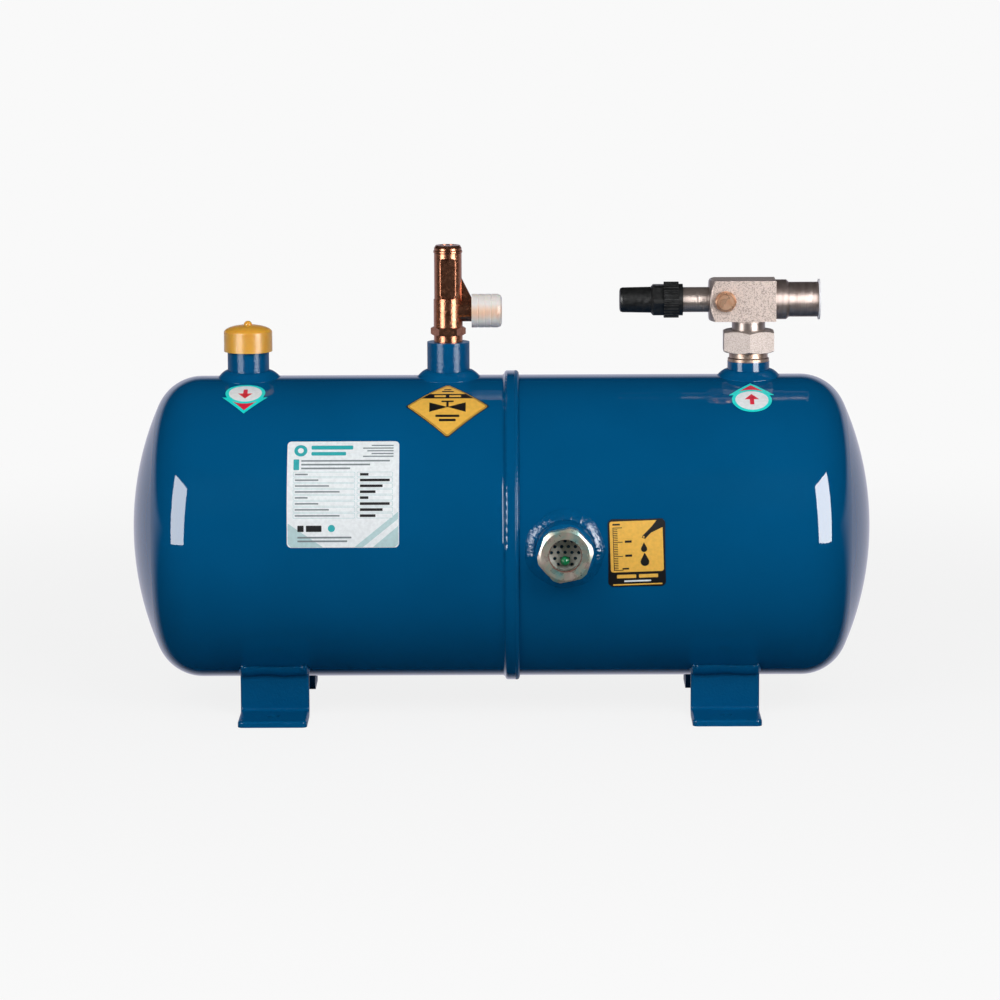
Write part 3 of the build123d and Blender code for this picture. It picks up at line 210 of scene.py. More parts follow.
near = tree.nodes.new("ShaderNodeAddShader")
tree.links.new(lit.outputs[0], near.inputs[0])
tree.links.new(glow.outputs[0], near.inputs[1])
far = tree.nodes.new("ShaderNodeEmission")
far.inputs["Strength"].default_value = background_white
pictured = either(tree, fade, near.outputs[0], far.outputs[0])
bounce = tree.nodes.new("ShaderNodeBsdfDiffuse")
bounce.inputs["Color"].default_value = floor_bounce
whole_floor = either(tree, looked_at(tree, rays), bounce.outputs[0], pictured)
floor_out = tree.nodes.new("ShaderNodeOutputMaterial")
tree.links.new(whole_floor, floor_out.inputs["Surface"])
floor_mesh.materials.append(floor_paint)


# Painted vessel: two deep-drawn steel half shells in dark blue stove enamel, a gloss coat with a
# faint orange peel. The fittings, feet and welds are painted with it too, with a coarser peel of
# their own: on the fittings it is duller, on the weld round the sight glass as glossy.
def shader_of(finish):
    """The shader that gives a finish its looks."""
    return finish.node_tree.nodes["Principled BSDF"]


def new_finish(name, colour, roughness, metallic=0.0):
    """Starts a finish: its plain values are set on the shader's own sockets."""
    finish = bpy.data.materials.new(name)
    finish.use_nodes = True
    shader = shader_of(finish)
    shader.inputs["Base Color"].default_value = (*colour, 1)
    shader.inputs["Roughness"].default_value = roughness
    shader.inputs["Metallic"].default_value = metallic
    return finish


def cloud(finish, scale, detail=3.0, stretch=(1, 1, 1)):
    """A cloud pattern that is fixed to the piece, its scale in patches per metre."""
    tree = finish.node_tree
    place = tree.nodes.new("ShaderNodeTexCoord")
    spread = tree.nodes.new("ShaderNodeMapping")
    spread.inputs["Scale"].default_value = stretch
    noise = tree.nodes.new("ShaderNodeTexNoise")
    noise.inputs["Scale"].default_value = scale
    noise.inputs["Detail"].default_value = detail
    tree.links.new(place.outputs["Object"], spread.inputs["Vector"])
    tree.links.new(spread.outputs["Vector"], noise.inputs["Vector"])
    return noise.outputs["Fac"]


def tint(finish, pattern, dark, light, low=0.35, high=0.65):
    """Colours the finish from dark to light by the pattern."""
    tree = finish.node_tree
    ramp = tree.nodes.new("ShaderNodeValToRGB")
    ramp.color_ramp.elements[0].position = low
    ramp.color_ramp.elements[0].color = (*dark, 1)
    ramp.color_ramp.elements[1].position = high
    ramp.color_ramp.elements[1].color = (*light, 1)
    tree.links.new(pattern, ramp.inputs["Fac"])
    tree.links.new(ramp.outputs["Color"], shader_of(finish).inputs["Base Color"])
    return ramp


def dull(finish, pattern, smooth, rough, low=0.35, high=0.65):
    """Makes the finish smoother and rougher by the pattern."""
    tree = finish.node_tree
    tree.links.new(faded(tree, pattern, low, high, smooth, rough), shader_of(finish).inputs["Roughness"])


def emboss(finish, pattern, height, strength=1.0):
    """Raises the surface by the pattern, the height in metres, on top of what is raised already."""
    tree = finish.node_tree
    shader = shader_of(finish)
    bump = tree.nodes.new("ShaderNodeBump")
    bump.inputs["Distance"].default_value = height
    bump.inputs["Strength"].default_value = strength
    tree.links.new(pattern, bump.inputs["Height"])
    if shader.inputs["Normal"].links:
        tree.links.new(shader.inputs["Normal"].links[0].from_socket, bump.inputs["Normal"])
    tree.links.new(bump.outputs["Normal"], shader.inputs["Normal"])
    tree.links.new(bump.outputs["Normal"], shader.inputs["Coat Normal"])


def dress(finish, *names):
    """Gives these pieces of the frame their finish."""
    for name in names:
        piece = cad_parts[name]
        piece.data.materials.clear()
        piece.data.materials.append(finish)


enamel_blue = (0.0004, 0.09, 0.235)


def enamel(name, peels, peel_height, gloss, blur):
    """Dark blue enamel under a hard gloss: peels is how many swells of orange peel go in a metre."""
    finish = new_finish(name, enamel_blue, 0.5)
    shader = shader_of(finish)
    shader.inputs["Specular IOR Level"].default_value = 0.0
    shader.inputs["Coat Weight"].default_value = gloss
    shader.inputs["Coat Roughness"].default_value = blur
    shader.inputs["Coat IOR"].default_value = 1.62
    tint(finish, cloud(finish, 9), (0.0003, 0.086, 0.224), (0.0006, 0.095, 0.247))
    emboss(finish, cloud(finish, peels, 2), peel_height, 0.5)
    return finish


blue_paint = enamel("blue_enamel", peels=230, peel_height=0.000018, gloss=1.0, blur=0.035)
thick_paint = enamel("blue_enamel_on_fittings", peels=620, peel_height=0.00032, gloss=0.42, blur=0.13)
weld_paint = enamel("blue_enamel_on_welds", peels=560, peel_height=0.0011, gloss=1.0, blur=0.06)
dress(blue_paint, "left_shell", "right_shell")
dress(
    thick_paint, "inlet_stub", "relief_boss", "sight_boss",
    "foot_left_front", "foot_right_front", "foot_left_rear", "foot_right_rear",
)

vessel_low, vessel_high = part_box("right_shell")
vessel_radius = vessel_high.y
vessel_axis = (vessel_low.z + vessel_high.z) / 2


# Weld beads: laid by hand in short overlapping steps and painted over, so each shows as soft
# ripples along its run. They close round the ports, along the feet and round the middle.
def lay_bead(name, rows, closed, paint, replaced):
    """Skins a run of cross sections, each a list of points, into one bead or raised edge."""
    mesh = bmesh.new()
    rings = [[mesh.verts.new(point) for point in row] for row in rows]
    count = len(rings[0])
    pairs = list(zip(rings, rings[1:] + rings[:1])) if closed else list(zip(rings, rings[1:]))
    for ring, following in pairs:
        for spot in range(count):
            after = (spot + 1) % count
            mesh.faces.new((ring[spot], ring[after], following[after], following[spot]))
    if not closed:
        mesh.faces.new(rings[0][::-1])
        mesh.faces.new(rings[-1])
    bmesh.ops.recalc_face_normals(mesh, faces=mesh.faces)
    for face in mesh.faces:
        face.smooth = True
    return settle(name, mesh, [paint], replaced)


def settle(name, mesh, finishes, replaced=()):
    """Turns a worked mesh into a piece that rides on the vessel and stands for the nodes it replaces."""
    data = bpy.data.meshes.new(name)
    mesh.to_mesh(data)
    mesh.free()
    for finish in finishes:
        data.materials.append(finish)
    piece = bpy.data.objects.new(name, data)
    scene.collection.objects.link(piece)
    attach(piece, "vessel")
    if replaced:
        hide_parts(*replaced)
    return piece


def ripple(run, step, seed):
    """How high a bead stands at this place of its run: uneven steps, each with a steep front."""
    phase = run / step + 0.45 * sin(run / step * 0.61 + seed) + 0.3 * sin(run / step * 0.23 + 2 * seed)
    part = phase - floor(phase)
    size = 0.35 + 0.65 * random.Random(int(phase) + int(seed * 100)).random()
    return size * (1 - part) ** 1.6 * min(1.0, part * 6)


def on_vessel(x, sideways, height, facing):
    """A place near the vessel, sideways of its crest and this far off its surface."""
    rise = sqrt(vessel_radius**2 - sideways**2) + height
    if facing == "up":
        return Vector((x, sideways, vessel_axis + rise))
    return Vector((x, -rise, vessel_axis + sideways))


bead_root = 0.0015


def port_bead(name, x, inner, reach, height, facing, step, lift, seed, paint):
    """A full, rounded weld round a port, from the port's side down onto the curved shell."""
    rows = []
    turns = 360
    for turn in range(turns):
        angle = 2 * pi * turn / turns
        wave = ripple(angle * (inner + reach / 2), step, seed)
        wander = 0.06 * sin(3 * angle + seed) + 0.04 * sin(7 * angle + 2 * seed)
        out = inner + reach * (1 + wander)
        row = []
        spots = 9
        for spot in range(spots + 1):
            part = spot / spots
            distance = inner + (out - inner) * part
            crown = height * (1 - part**1.7) + lift * wave * sin(pi * min(1.0, 0.12 + part * 0.88)) ** 0.7
            row.append(on_vessel(x + distance * cos(angle), distance * sin(angle), crown, facing))
        row.append(on_vessel(x + out * cos(angle), out * sin(angle), -bead_root, facing))
        row.append(on_vessel(x + inner * cos(angle), inner * sin(angle), -bead_root, facing))
        rows.append(row)
    return lay_bead(name + "_bead", rows, True, paint, [name])


inlet_x = (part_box("inlet_stub")[0].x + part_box("inlet_stub")[1].x) / 2
relief_x = (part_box("relief_boss")[0].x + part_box("relief_boss")[1].x) / 2
outlet_x = (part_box("outlet_connector")[0].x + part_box("outlet_connector")[1].x) / 2
sight_x = (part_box("sight_boss")[0].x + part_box("sight_boss")[1].x) / 2
hand_laid = {"reach": 0.0074, "facing": "up", "step": 0.0034, "lift": 0.00022, "paint": thick_paint}
port_bead("inlet_weld", inlet_x, inner=0.01495, height=0.0050, seed=1.0, **hand_laid)
port_bead("relief_boss_weld", relief_x, inner=0.0153, height=0.0050, seed=2.0, **hand_laid)
port_bead("outlet_weld", outlet_x, inner=0.01515, height=0.0048, seed=3.0, **hand_laid)
port_bead(
    "sight_weld", sight_x, inner=0.02095, reach=0.0072, height=0.0036, facing="front",
    step=0.0085, lift=0.0006, seed=4.0, paint=weld_paint,
)

# Girth weld: the bead that closes the lap between the two half shells, laid in one turn while the
# vessel rolled under the torch. It slopes from the belled rim down to the other shell.
girth_low, girth_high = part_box("girth_weld")
bell_outside = girth_high.z - vessel_axis
girth_turns = 900
girth_step = 0.0042
girth_bulge = 0.0006
girth_overlap = 0.0002
girth_root = 0.0003
girth_rows = []
for turn in range(girth_turns):
    angle = 2 * pi * turn / girth_turns
    wave = ripple(angle * vessel_radius, girth_step, 0.5)
    row = []
    for part in (0.0, 0.2, 0.4, 0.6, 0.8, 1.0):
        bulge = sin(pi * part) * girth_bulge * (0.5 + 0.8 * wave)
        lean = pi / 2 * part
        x = girth_low.x - girth_overlap + (girth_high.x - girth_low.x + 2 * girth_overlap) * sin(lean)
        radius = vessel_radius + (bell_outside - vessel_radius) * cos(lean) + bulge
        row.append((x, radius * cos(angle), vessel_axis + radius * sin(angle)))
    inside = vessel_radius - girth_root
    row.append((girth_low.x - girth_overlap, inside * cos(angle), vessel_axis + inside * sin(angle)))
    girth_rows.append(row)
lay_bead("girth_weld_bead", girth_rows, True, thick_paint, ["girth_weld"])

# Foot welds: one wide bead along the face of each foot, laid by hand and painted like the
# fittings. It is fuller near both ends, in ears, where the welder started and stopped.
foot_bead_steps = 170
foot_bead_spots = 10
foot_bead_ripple = 0.0055
foot_bead_drop = 0.0032
foot_bead_rise = 0.086
foot_bead_swell = 0.0024
foot_bead_depth = 0.001
foot_bead_root = 0.0004
ear_place = 0.045
ear_rise = 0.022
ear_swell = 0.0006
outwards = Vector((0, 0.62, -0.78))
for foot in ("left_front", "right_front", "left_rear", "right_rear"):
    low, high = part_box(f"foot_weld_{foot}")
    face = -1 if "front" in foot else 1
    root = low.y if face > 0 else high.y
    mouth = abs(root)
    shell_at_face = vessel_axis - sqrt(vessel_radius**2 - mouth**2)
    seed = len(foot) + (3.0 if "left" in foot else 7.0)
    rows = []
    for step in range(foot_bead_steps + 1):
        run = step / foot_bead_steps
        x = low.x + (high.x - low.x) * run
        wave = ripple(run * (high.x - low.x), foot_bead_ripple, seed)
        edge = min(run, 1 - run)
        ease = min(1.0, edge * 16 + 0.3)
        ear = 2.7 ** -((edge / ear_place - 0.9) ** 2)
        drop = (foot_bead_drop + 0.0001 * wave + 0.0005 * sin(run * 11 + seed)) * ease
        rise = (foot_bead_rise + 0.0012 * wave + 0.005 * sin(run * 8 + seed) + ear_rise * ear) * ease
        rise_angle = asin(mouth / vessel_radius) + rise
        toe = Vector((x, vessel_radius * sin(rise_angle), vessel_axis - vessel_radius * cos(rise_angle)))
        heel = Vector((x, mouth, shell_at_face - drop))
        row = []
        for spot in range(foot_bead_spots + 1):
            part = spot / foot_bead_spots
            point = heel.lerp(toe, part)
            swell = sin(pi * part) ** 0.7 * (foot_bead_swell + 0.00014 * wave + ear_swell * ear) * ease
            point += outwards * swell
            row.append((point.x, face * point.y, point.z))
        row.append((x, face * (mouth + foot_bead_depth), shell_at_face + foot_bead_root))
        rows.append(row)
    lay_bead(f"foot_weld_{foot}_bead", rows, False, thick_paint, [f"foot_weld_{foot}"])

# Inlet cap: soft orange vinyl, dipped, and slipped over the stub by hand to keep the inside clean.
# It is a little scuffed.
vinyl = new_finish("orange_vinyl", (0.88, 0.43, 0.04), 0.34)
vinyl_shader = shader_of(vinyl)
vinyl_shader.inputs["Coat Weight"].default_value = 0.35
vinyl_shader.inputs["Coat Roughness"].default_value = 0.16
vinyl_shader.inputs["Subsurface Weight"].default_value = 0.25
vinyl_shader.inputs["Subsurface Radius"].default_value = (0.004, 0.002, 0.001)
vinyl_shader.inputs["Subsurface Scale"].default_value = 0.6
tint(vinyl, cloud(vinyl, 60, 5), (0.85, 0.405, 0.035), (0.93, 0.47, 0.055))
dull(vinyl, cloud(vinyl, 170, 4), 0.32, 0.46)
emboss(vinyl, cloud(vinyl, 700, 4), 0.00005, 0.5)
dress(vinyl, "inlet_cap")

# Relief valve: hot-pressed reddish brass with a turned neck, screwed into its boss on the vessel.
# The dark scale of the press is still on its sides.
brass = new_finish("pressed_brass", (0.38, 0.16, 0.09), 0.28, 0.9)
tint(brass, cloud(brass, 200, 3), (0.33, 0.13, 0.072), (0.42, 0.185, 0.108))
dull(brass, cloud(brass, 420, 3), 0.18, 0.28)
emboss(brass, cloud(brass, 1000, 2), 0.00014, 0.6)
dress(brass, "relief_body", "relief_disc", "relief_adjuster", "relief_top_seal")

# The die left a fine raised edge round the sunk panel on the front of the forging, in the same
# brass: a thin rounded ridge that runs once round the panel's border.
panel_half_width = 0.0055
panel_low_rise = 0.0571
panel_high_rise = 0.0855
panel_low = vessel_axis + vessel_radius + panel_low_rise
panel_high = vessel_axis + vessel_radius + panel_high_rise
panel_corner = 0.0026
panel_face = -0.0078
edge_thickness = 0.0009
edge_spots = 10
panel_path = []
for across, up, start in ((1, 1, 0), (-1, 1, 90), (-1, -1, 180), (1, -1, 270)):
    middle_x = relief_x + across * (panel_half_width - panel_corner)
    middle_z = panel_high - panel_corner if up > 0 else panel_low + panel_corner
    for turn in range(0, 91, 10):
        angle = radians(start + turn)
        panel_path.append((middle_x, middle_z, cos(angle), sin(angle)))
panel_rows = []
for middle_x, middle_z, outward, upward in panel_path:
    row = []
    for spot in range(edge_spots):
        around = 2 * pi * spot / edge_spots
        reach = panel_corner + edge_thickness / 2 * cos(around)
        depth = panel_face + edge_thickness / 2 * sin(around)
        row.append((middle_x + outward * reach, depth, middle_z + upward * reach))
    panel_rows.append(row)
lay_bead("relief_panel_edge", panel_rows, True, brass, ())

# Relief spring: bright drawn wire, wound and ground flat at its ends, pressed between the disc and
# the adjusting screw inside the valve
bright_wire = new_finish("bright_wire", (0.62, 0.62, 0.64), 0.2, 1.0)
dull(bright_wire, cloud(bright_wire, 900, 2), 0.15, 0.3)
dress(bright_wire, "relief_spring")

# Soft seals: off-white packing plastic, cut or turned to size and held in the relief valve, the
# union, the stem's gland and the stem cap
seal_white = new_finish("white_seal", (0.8, 0.79, 0.75), 0.5)
tint(seal_white, cloud(seal_white, 300, 3), (0.74, 0.73, 0.69), (0.84, 0.83, 0.8))
dress(seal_white, "relief_seal", "union_gasket", "stem_packing", "stem_cap_seal")

# Relief outlet cap: a ribbed thread protector, moulded in milky plastic and pushed over the side
# outlet. It lets a little of the brass show through. Along its middle the lit brass is also painted
# into its colour as an orange band, a painted glow.
milky = new_finish("milky_plastic", (0.82, 0.72, 0.66), 0.32)
milky_shader = shader_of(milky)
milky_shader.inputs["Subsurface Weight"].default_value = 0.25
milky_shader.inputs["Subsurface Radius"].default_value = (0.006, 0.004, 0.003)
milky_shader.inputs["Subsurface Scale"].default_value = 0.5
milky_shader.inputs["Alpha"].default_value = 0.9
# Painted glow: the cap is painted orange within this height of its axis, for the lit brass seen through it
painted_glow_half_height = 0.0095
painted_glow_unevenness = 0.55
cap_low, cap_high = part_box("relief_outlet_cap")
tree = milky.node_tree
off_axis = worked_out(tree, "SUBTRACT", coordinates(tree, "Object")["Z"], (cap_low.z + cap_high.z) / 2)
apart = worked_out(tree, "ABSOLUTE", off_axis)
painted_glow_span = faded(tree, apart, 0.0, painted_glow_half_height, kind="SMOOTHSTEP")
streaks = cloud(milky, 150, 2, (3, 0.3, 0.3))
uneven = worked_out(tree, "MULTIPLY_ADD", streaks, painted_glow_unevenness, painted_glow_span)
# Painted glow: orange near the axis, fading to pale milky white towards the top and bottom, broken by
# streaks
tint(milky, uneven, (0.98, 0.64, 0.46), (0.95, 0.89, 0.85), 0.25, 0.95)
emboss(milky, cloud(milky, 500, 3), 0.00006, 0.5)
dress(milky, "relief_outlet_cap")

# Union nut and service valve: machined steel with a warm nickel plate. The block is blasted to
# an even grain and the nut is fine milled.
def nickel_plate(name, colour, roughness, grain):
    """Warm nickel over blasted steel: fine bright and dark grains."""
    finish = new_finish(name, colour, roughness, 0.7)
    dark = [part * 0.5 for part in colour]
    light = [min(1.0, part * 1.16) for part in colour]
    tint(finish, cloud(finish, grain, 2), dark, light, 0.3, 0.55)
    dull(finish, cloud(finish, grain * 0.6, 3), roughness - 0.06, roughness + 0.06)
    emboss(finish, cloud(finish, grain * 1.6, 2), 0.00005, 0.5)
    return finish


blasted_nickel = nickel_plate("blasted_nickel", (0.5, 0.415, 0.375), 0.5, 1250)
dress(blasted_nickel, "valve_body")
milled_nickel = nickel_plate("milled_nickel", (0.4, 0.345, 0.318), 0.54, 2000)
dress(milled_nickel, "union_nut")

# The necks of the valve are turned from the same block, left of it and below it: smoother and
# darker than its blasted faces, with the fine grooves of the tool on the left one.
def mask_colour(finish, mask, covered):
    """Keeps the finish's own colour where the mask is 1 and shows the covered one where it is 0."""
    tree = finish.node_tree
    colour = shader_of(finish).inputs["Base Color"]
    choice = tree.nodes.new("ShaderNodeMix")
    choice.data_type = "RGBA"
    tree.links.new(mask, choice.inputs["Factor"])
    choice.inputs[6].default_value = (*covered, 1)
    tree.links.new(colour.links[0].from_socket, choice.inputs[7])
    tree.links.new(choice.outputs[2], colour)


block_reach = 0.0462
block_drop = 0.0312
block_edge = 0.0002
tree = blasted_nickel.node_tree
body_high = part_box("valve_body")[1]
on_piece = coordinates(tree, "Object")
on_block = []
for axis, start in (("X", body_high.x - block_reach), ("Z", body_high.z - block_drop)):
    on_block.append(faded(tree, on_piece[axis], start - block_edge, start + block_edge))
blasted = worked_out(tree, "MULTIPLY", *on_block)
mask_colour(blasted_nickel, blasted, (0.36, 0.3, 0.27))
dull(blasted_nickel, blasted, 0.3, 0.51, 0.0, 1.0)
on_left_neck = worked_out(tree, "SUBTRACT", 1, on_block[0])
grooves = worked_out(tree, "MULTIPLY", on_left_neck, cloud(blasted_nickel, 60, 1, (50, 1, 1)))
emboss(blasted_nickel, grooves, 0.0003)

# Outlet tube, spindle, valve disc and gland nut: turned from bar and plated like the block, with
# fine grooves across their length
turned = new_finish("turned_nickel", (0.42, 0.34, 0.31), 0.34, 0.85)
tint(turned, cloud(turned, 60, 2, (6, 1, 1)), (0.38, 0.3, 0.27), (0.46, 0.38, 0.35))
dull(turned, cloud(turned, 500, 3), 0.3, 0.4)
emboss(turned, cloud(turned, 60, 1, (50, 1, 1)), 0.0003)
dress(turned, "outlet_tube", "spindle", "valve_disc", "gland_nut")

# Outlet connector: a steel stub with a thread for the union nut, welded to the shell. It is masked
# above its collar when the vessel is painted, so its foot is blue and its neck is bare metal.
stub_rise = 0.031
paint_rise = 0.0104
paint_edge = 0.0003
bare_metal = 0.85
connector_steel = new_finish("connector_steel", (0.42, 0.3, 0.24), 0.34, bare_metal)
paint_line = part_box("inlet_stub")[1].z - stub_rise + paint_rise
tree = connector_steel.node_tree
level = coordinates(tree, "Object")["Z"]
unpainted = faded(tree, level, paint_line - paint_edge, paint_line + paint_edge)
tint(connector_steel, cloud(connector_steel, 300, 3), (0.34, 0.22, 0.16), (0.5, 0.39, 0.32))
mask_colour(connector_steel, unpainted, enamel_blue)
bare = worked_out(tree, "MULTIPLY", unpainted, bare_metal)
tree.links.new(bare, shader_of(connector_steel).inputs["Metallic"])
dull(connector_steel, unpainted, 0.12, 0.36, 0.0, 1.0)
emboss(connector_steel, cloud(connector_steel, 520, 2), 0.00005, 0.5)
dress(connector_steel, "outlet_connector")

# Dip tube: plain drawn steel tube, fixed under the outlet connector and reaching down to the
# vessel's floor, with faint streaks along it
drawn_tube = new_finish("drawn_tube", (0.5, 0.47, 0.44), 0.4, 0.85)
tint(drawn_tube, cloud(drawn_tube, 120, 3, (1, 1, 0.1)), (0.42, 0.39, 0.36), (0.55, 0.52, 0.49))
dress(drawn_tube, "dip_tube")

# Outlet end plug: moulded white plastic, pushed by hand into the end of the outlet tube to keep it
# clean until the pipe goes on
white_moulding = new_finish("white_moulding", (0.8, 0.8, 0.84), 0.45)
tint(white_moulding, cloud(white_moulding, 200, 3), (0.76, 0.76, 0.8), (0.84, 0.84, 0.88))
dress(white_moulding, "outlet_end_plug")

# Stem cap: moulded black plastic with a satin skin, screwed over the valve's stem. Its ribs are a
# little polished by handling.
black_plastic = new_finish("black_moulding", (0.009, 0.0095, 0.01), 0.4)
tint(black_plastic, cloud(black_plastic, 300, 3), (0.006, 0.0065, 0.007), (0.013, 0.0135, 0.014))
dull(black_plastic, cloud(black_plastic, 350, 4), 0.32, 0.48)
emboss(black_plastic, cloud(black_plastic, 1500, 3), 0.00004, 0.5)
dress(black_plastic, "stem_cap")

# Gauge port plug: turned copper-coloured brass, screwed into the block against a soft copper
# washer
copper = new_finish("soft_copper", (0.8, 0.46, 0.29), 0.34, 0.66)
tint(copper, cloud(copper, 180, 2), (0.74, 0.4, 0.24), (0.86, 0.54, 0.36))
dull(copper, cloud(copper, 150, 2), 0.26, 0.34)
dress(copper, "gauge_washer", "gauge_plug")

# Sight glass: a zinc plated hexagon plug with rainbow passivation holds a clear disc, and a green
# ball floats between it and a dished perforated screen
plated = new_finish("passivated_zinc", (0.5, 0.54, 0.5), 0.3, 0.62)
colours = tint(plated, cloud(plated, 110, 4), (0.17, 0.42, 0.4), (0.66, 0.6, 0.52), 0.3, 0.7)
olive = colours.color_ramp.elements.new(0.42)
olive.color = (0.32, 0.46, 0.42, 1)
tan_brown = colours.color_ramp.elements.new(0.5)
tan_brown.color = (0.46, 0.47, 0.38, 1)
pink = colours.color_ramp.elements.new(0.6)
pink.color = (0.58, 0.47, 0.41, 1)
dull(plated, cloud(plated, 160, 2), 0.24, 0.36)
emboss(plated, cloud(plated, 500, 2), 0.000012, 0.5)
dress(plated, "sight_plug", "sight_retainer", "sight_spacer")

screen_steel = new_finish("screen_steel", (0.55, 0.56, 0.52), 0.45, 0.35)
tint(screen_steel, cloud(screen_steel, 260, 4), (0.45, 0.46, 0.42), (0.68, 0.68, 0.63))
dress(screen_steel, "sight_screen")

fibre = new_finish("red_fibre", (0.14, 0.035, 0.022), 0.6)
tint(fibre, cloud(fibre, 700, 3), (0.1, 0.022, 0.014), (0.19, 0.055, 0.035))
dress(fibre, "sight_gasket")

clear_glass = new_finish("clear_glass", (0.01, 0.016, 0.015), 0.03)
glass_shader = shader_of(clear_glass)
glass_shader.inputs["Alpha"].default_value = 0.16
glass_shader.inputs["Specular IOR Level"].default_value = 1.0
dull(clear_glass, cloud(clear_glass, 90, 3), 0.02, 0.06)
dress(clear_glass, "sight_glass")

float_green = new_finish("float_green", (0.0, 0.36, 0.1), 0.08)
float_shader = shader_of(float_green)
float_shader.inputs["Coat Weight"].default_value = 1.0
float_shader.inputs["Coat IOR"].default_value = 1.8
tint(float_green, cloud(float_green, 250, 3), (0.0, 0.28, 0.075), (0.0, 0.42, 0.13))
dress(float_green, "float_ball")


# Printed labels: film stuck on the paint, printed with plain fields of colour and simple shapes.
# Each ink lies a hair's breadth above the one below it, and the clear film shows the paint.
def ink(name, colour):
    """A printing ink: one colour with a faint unevenness of the print."""
    finish = new_finish(name, colour, 0.35)
    shader = shader_of(finish)
    shader.inputs["Coat Weight"].default_value = 0.3
    shader.inputs["Coat Roughness"].default_value = 0.15
    thin = [part * 0.94 for part in colour]
    full = [min(1, part * 1.04) for part in colour]
    tint(finish, cloud(finish, 400, 2), thin, full)
    return finish


white_ink = ink("white_ink", (0.87, 0.91, 0.93))
pale_ink = ink("pale_teal_ink", (0.5, 0.68, 0.7))
black_ink = ink("black_ink", (0.008, 0.0085, 0.01))
grey_ink = ink("grey_ink", (0.2, 0.24, 0.26))
yellow_ink = ink("yellow_ink", (0.93, 0.52, 0.075))
cyan_ink = ink("cyan_ink", (0.002, 0.8, 0.75))
red_ink = ink("red_ink", (0.8, 0.012, 0.05))
teal_ink = ink("teal_ink", (0.02, 0.42, 0.45))
inks = [white_ink, pale_ink, black_ink, grey_ink, yellow_ink, cyan_ink, red_ink, teal_ink]
WHITE, PALE, BLACK, GREY, YELLOW, CYAN, RED, TEAL = range(8)
clear_film = new_finish("clear_film", (0.01, 0.09, 0.22), 0.2)
film_shader = shader_of(clear_film)
film_shader.inputs["Alpha"].default_value = 0.3
tint(clear_film, cloud(clear_film, 300, 2), (0.008, 0.08, 0.2), (0.012, 0.1, 0.24))
dress(white_ink, "data_label")
dress(clear_film, "inlet_arrow_label", "outlet_arrow_label")
dress(black_ink, "relief_label", "level_label")
print_rise = 0.025
print_depth = 0.04
bend_step = 2
film_face = (-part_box("data_label")[0].y - vessel_radius) * 1000


def block(left, bottom, right, top, corner=0.0):
    """A rectangle's outline in millimetres on the label, with round corners if wanted."""
    if corner <= 0:
        return [(left, bottom), (right, bottom), (right, top), (left, top)]
    outline = []
    centres = (
        (right - corner, top - corner, 0), (left + corner, top - corner, 90),
        (left + corner, bottom + corner, 180), (right - corner, bottom + corner, 270),
    )
    for across, up, start in centres:
        for turn in range(0, 91, 18):
            angle = radians(start + turn)
            outline.append((across + corner * cos(angle), up + corner * sin(angle)))
    return outline


def oval(across, up, half_width, half_height, count=64):
    """An ellipse's outline."""
    angles = [2 * pi * turn / count for turn in range(count)]
    return [(across + half_width * cos(angle), up + half_height * sin(angle)) for angle in angles]


def print_label(name, x, angle, turn, shapes):
    """Prints shapes on a label: each is an ink, a layer and an outline, wrapped round the vessel."""
    whole = bmesh.new()
    for colour, layer, outline in shapes:
        flat = bmesh.new()
        flat.faces.new([flat.verts.new((across, up, 0)) for across, up in outline])
        bmesh.ops.triangulate(flat, faces=flat.faces)
        lowest = min(up for across, up in outline)
        highest = max(up for across, up in outline)
        cut = floor(lowest / bend_step) * bend_step + bend_step
        while cut < highest:
            everything = flat.verts[:] + flat.edges[:] + flat.faces[:]
            bmesh.ops.bisect_plane(flat, geom=everything, plane_co=(0, cut, 0), plane_no=(0, 1, 0))
            cut += bend_step
        raised = bmesh.ops.extrude_face_region(flat, geom=flat.faces[:])
        for part in raised["geom"]:
            if isinstance(part, bmesh.types.BMVert):
                part.co.z = 1
        bmesh.ops.recalc_face_normals(flat, faces=flat.faces)
        for vert in flat.verts:
            across = vert.co.x * cos(turn) - vert.co.y * sin(turn)
            up = vert.co.x * sin(turn) + vert.co.y * cos(turn)
            height = film_face + (layer + 1) * print_rise - print_depth * (1 - vert.co.z)
            place = angle + up / 1000 / vessel_radius
            radius = vessel_radius + height / 1000
            vert.co = (x + across / 1000, -radius * cos(place), vessel_axis + radius * sin(place))
        copied = [whole.verts.new(vert.co) for vert in flat.verts]
        flat.verts.index_update()
        for face in flat.faces:
            added = whole.faces.new([copied[vert.index] for vert in face.verts])
            added.material_index = colour
        flat.free()
    bmesh.ops.recalc_face_normals(whole, faces=whole.faces)
    return settle(name, whole, inks)


# Data label: white film stuck on the front of the shell, printed with a teal head, a table of
# plain boxes and bars, and tinted corners
data_x = (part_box("data_label")[0].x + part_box("data_label")[1].x) / 2
data_angle = radians(21.5)
shapes = [
    (WHITE, 0, block(-39.4, -39.1, 39.4, 39.1, 2.9)),
    (PALE, 1, [(-38.9, -36.5), (-36.5, -38.9), (-14, -38.9), (-38.9, -22)]),
    (PALE, 1, [(38.9, -36.5), (38.9, -14), (8, -38.9), (36.5, -38.9)]),
    (WHITE, 2, [(38.9, -24), (38.9, -19), (14, -38.9), (21, -38.9)]),
    (TEAL, 1, oval(-30, 31.5, 4.6, 4.6, 40)),
    (WHITE, 2, oval(-30, 31.5, 2.1, 2.1, 32)),
    (TEAL, 1, block(-22.5, 32.4, 7, 35.6, 0.8)),
    (TEAL, 1, block(-22.5, 27.6, 2, 30.4, 0.8)),
    (TEAL, 1, block(-35, 16.4, -31, 24.6, 0.6)),
]
for line in range(5):
    left = 20 - 3 * ((line * 2) % 3)
    shapes.append((GREY, 1, block(left, 35.2 - line * 2.2, 35.5, 36.1 - line * 2.2)))
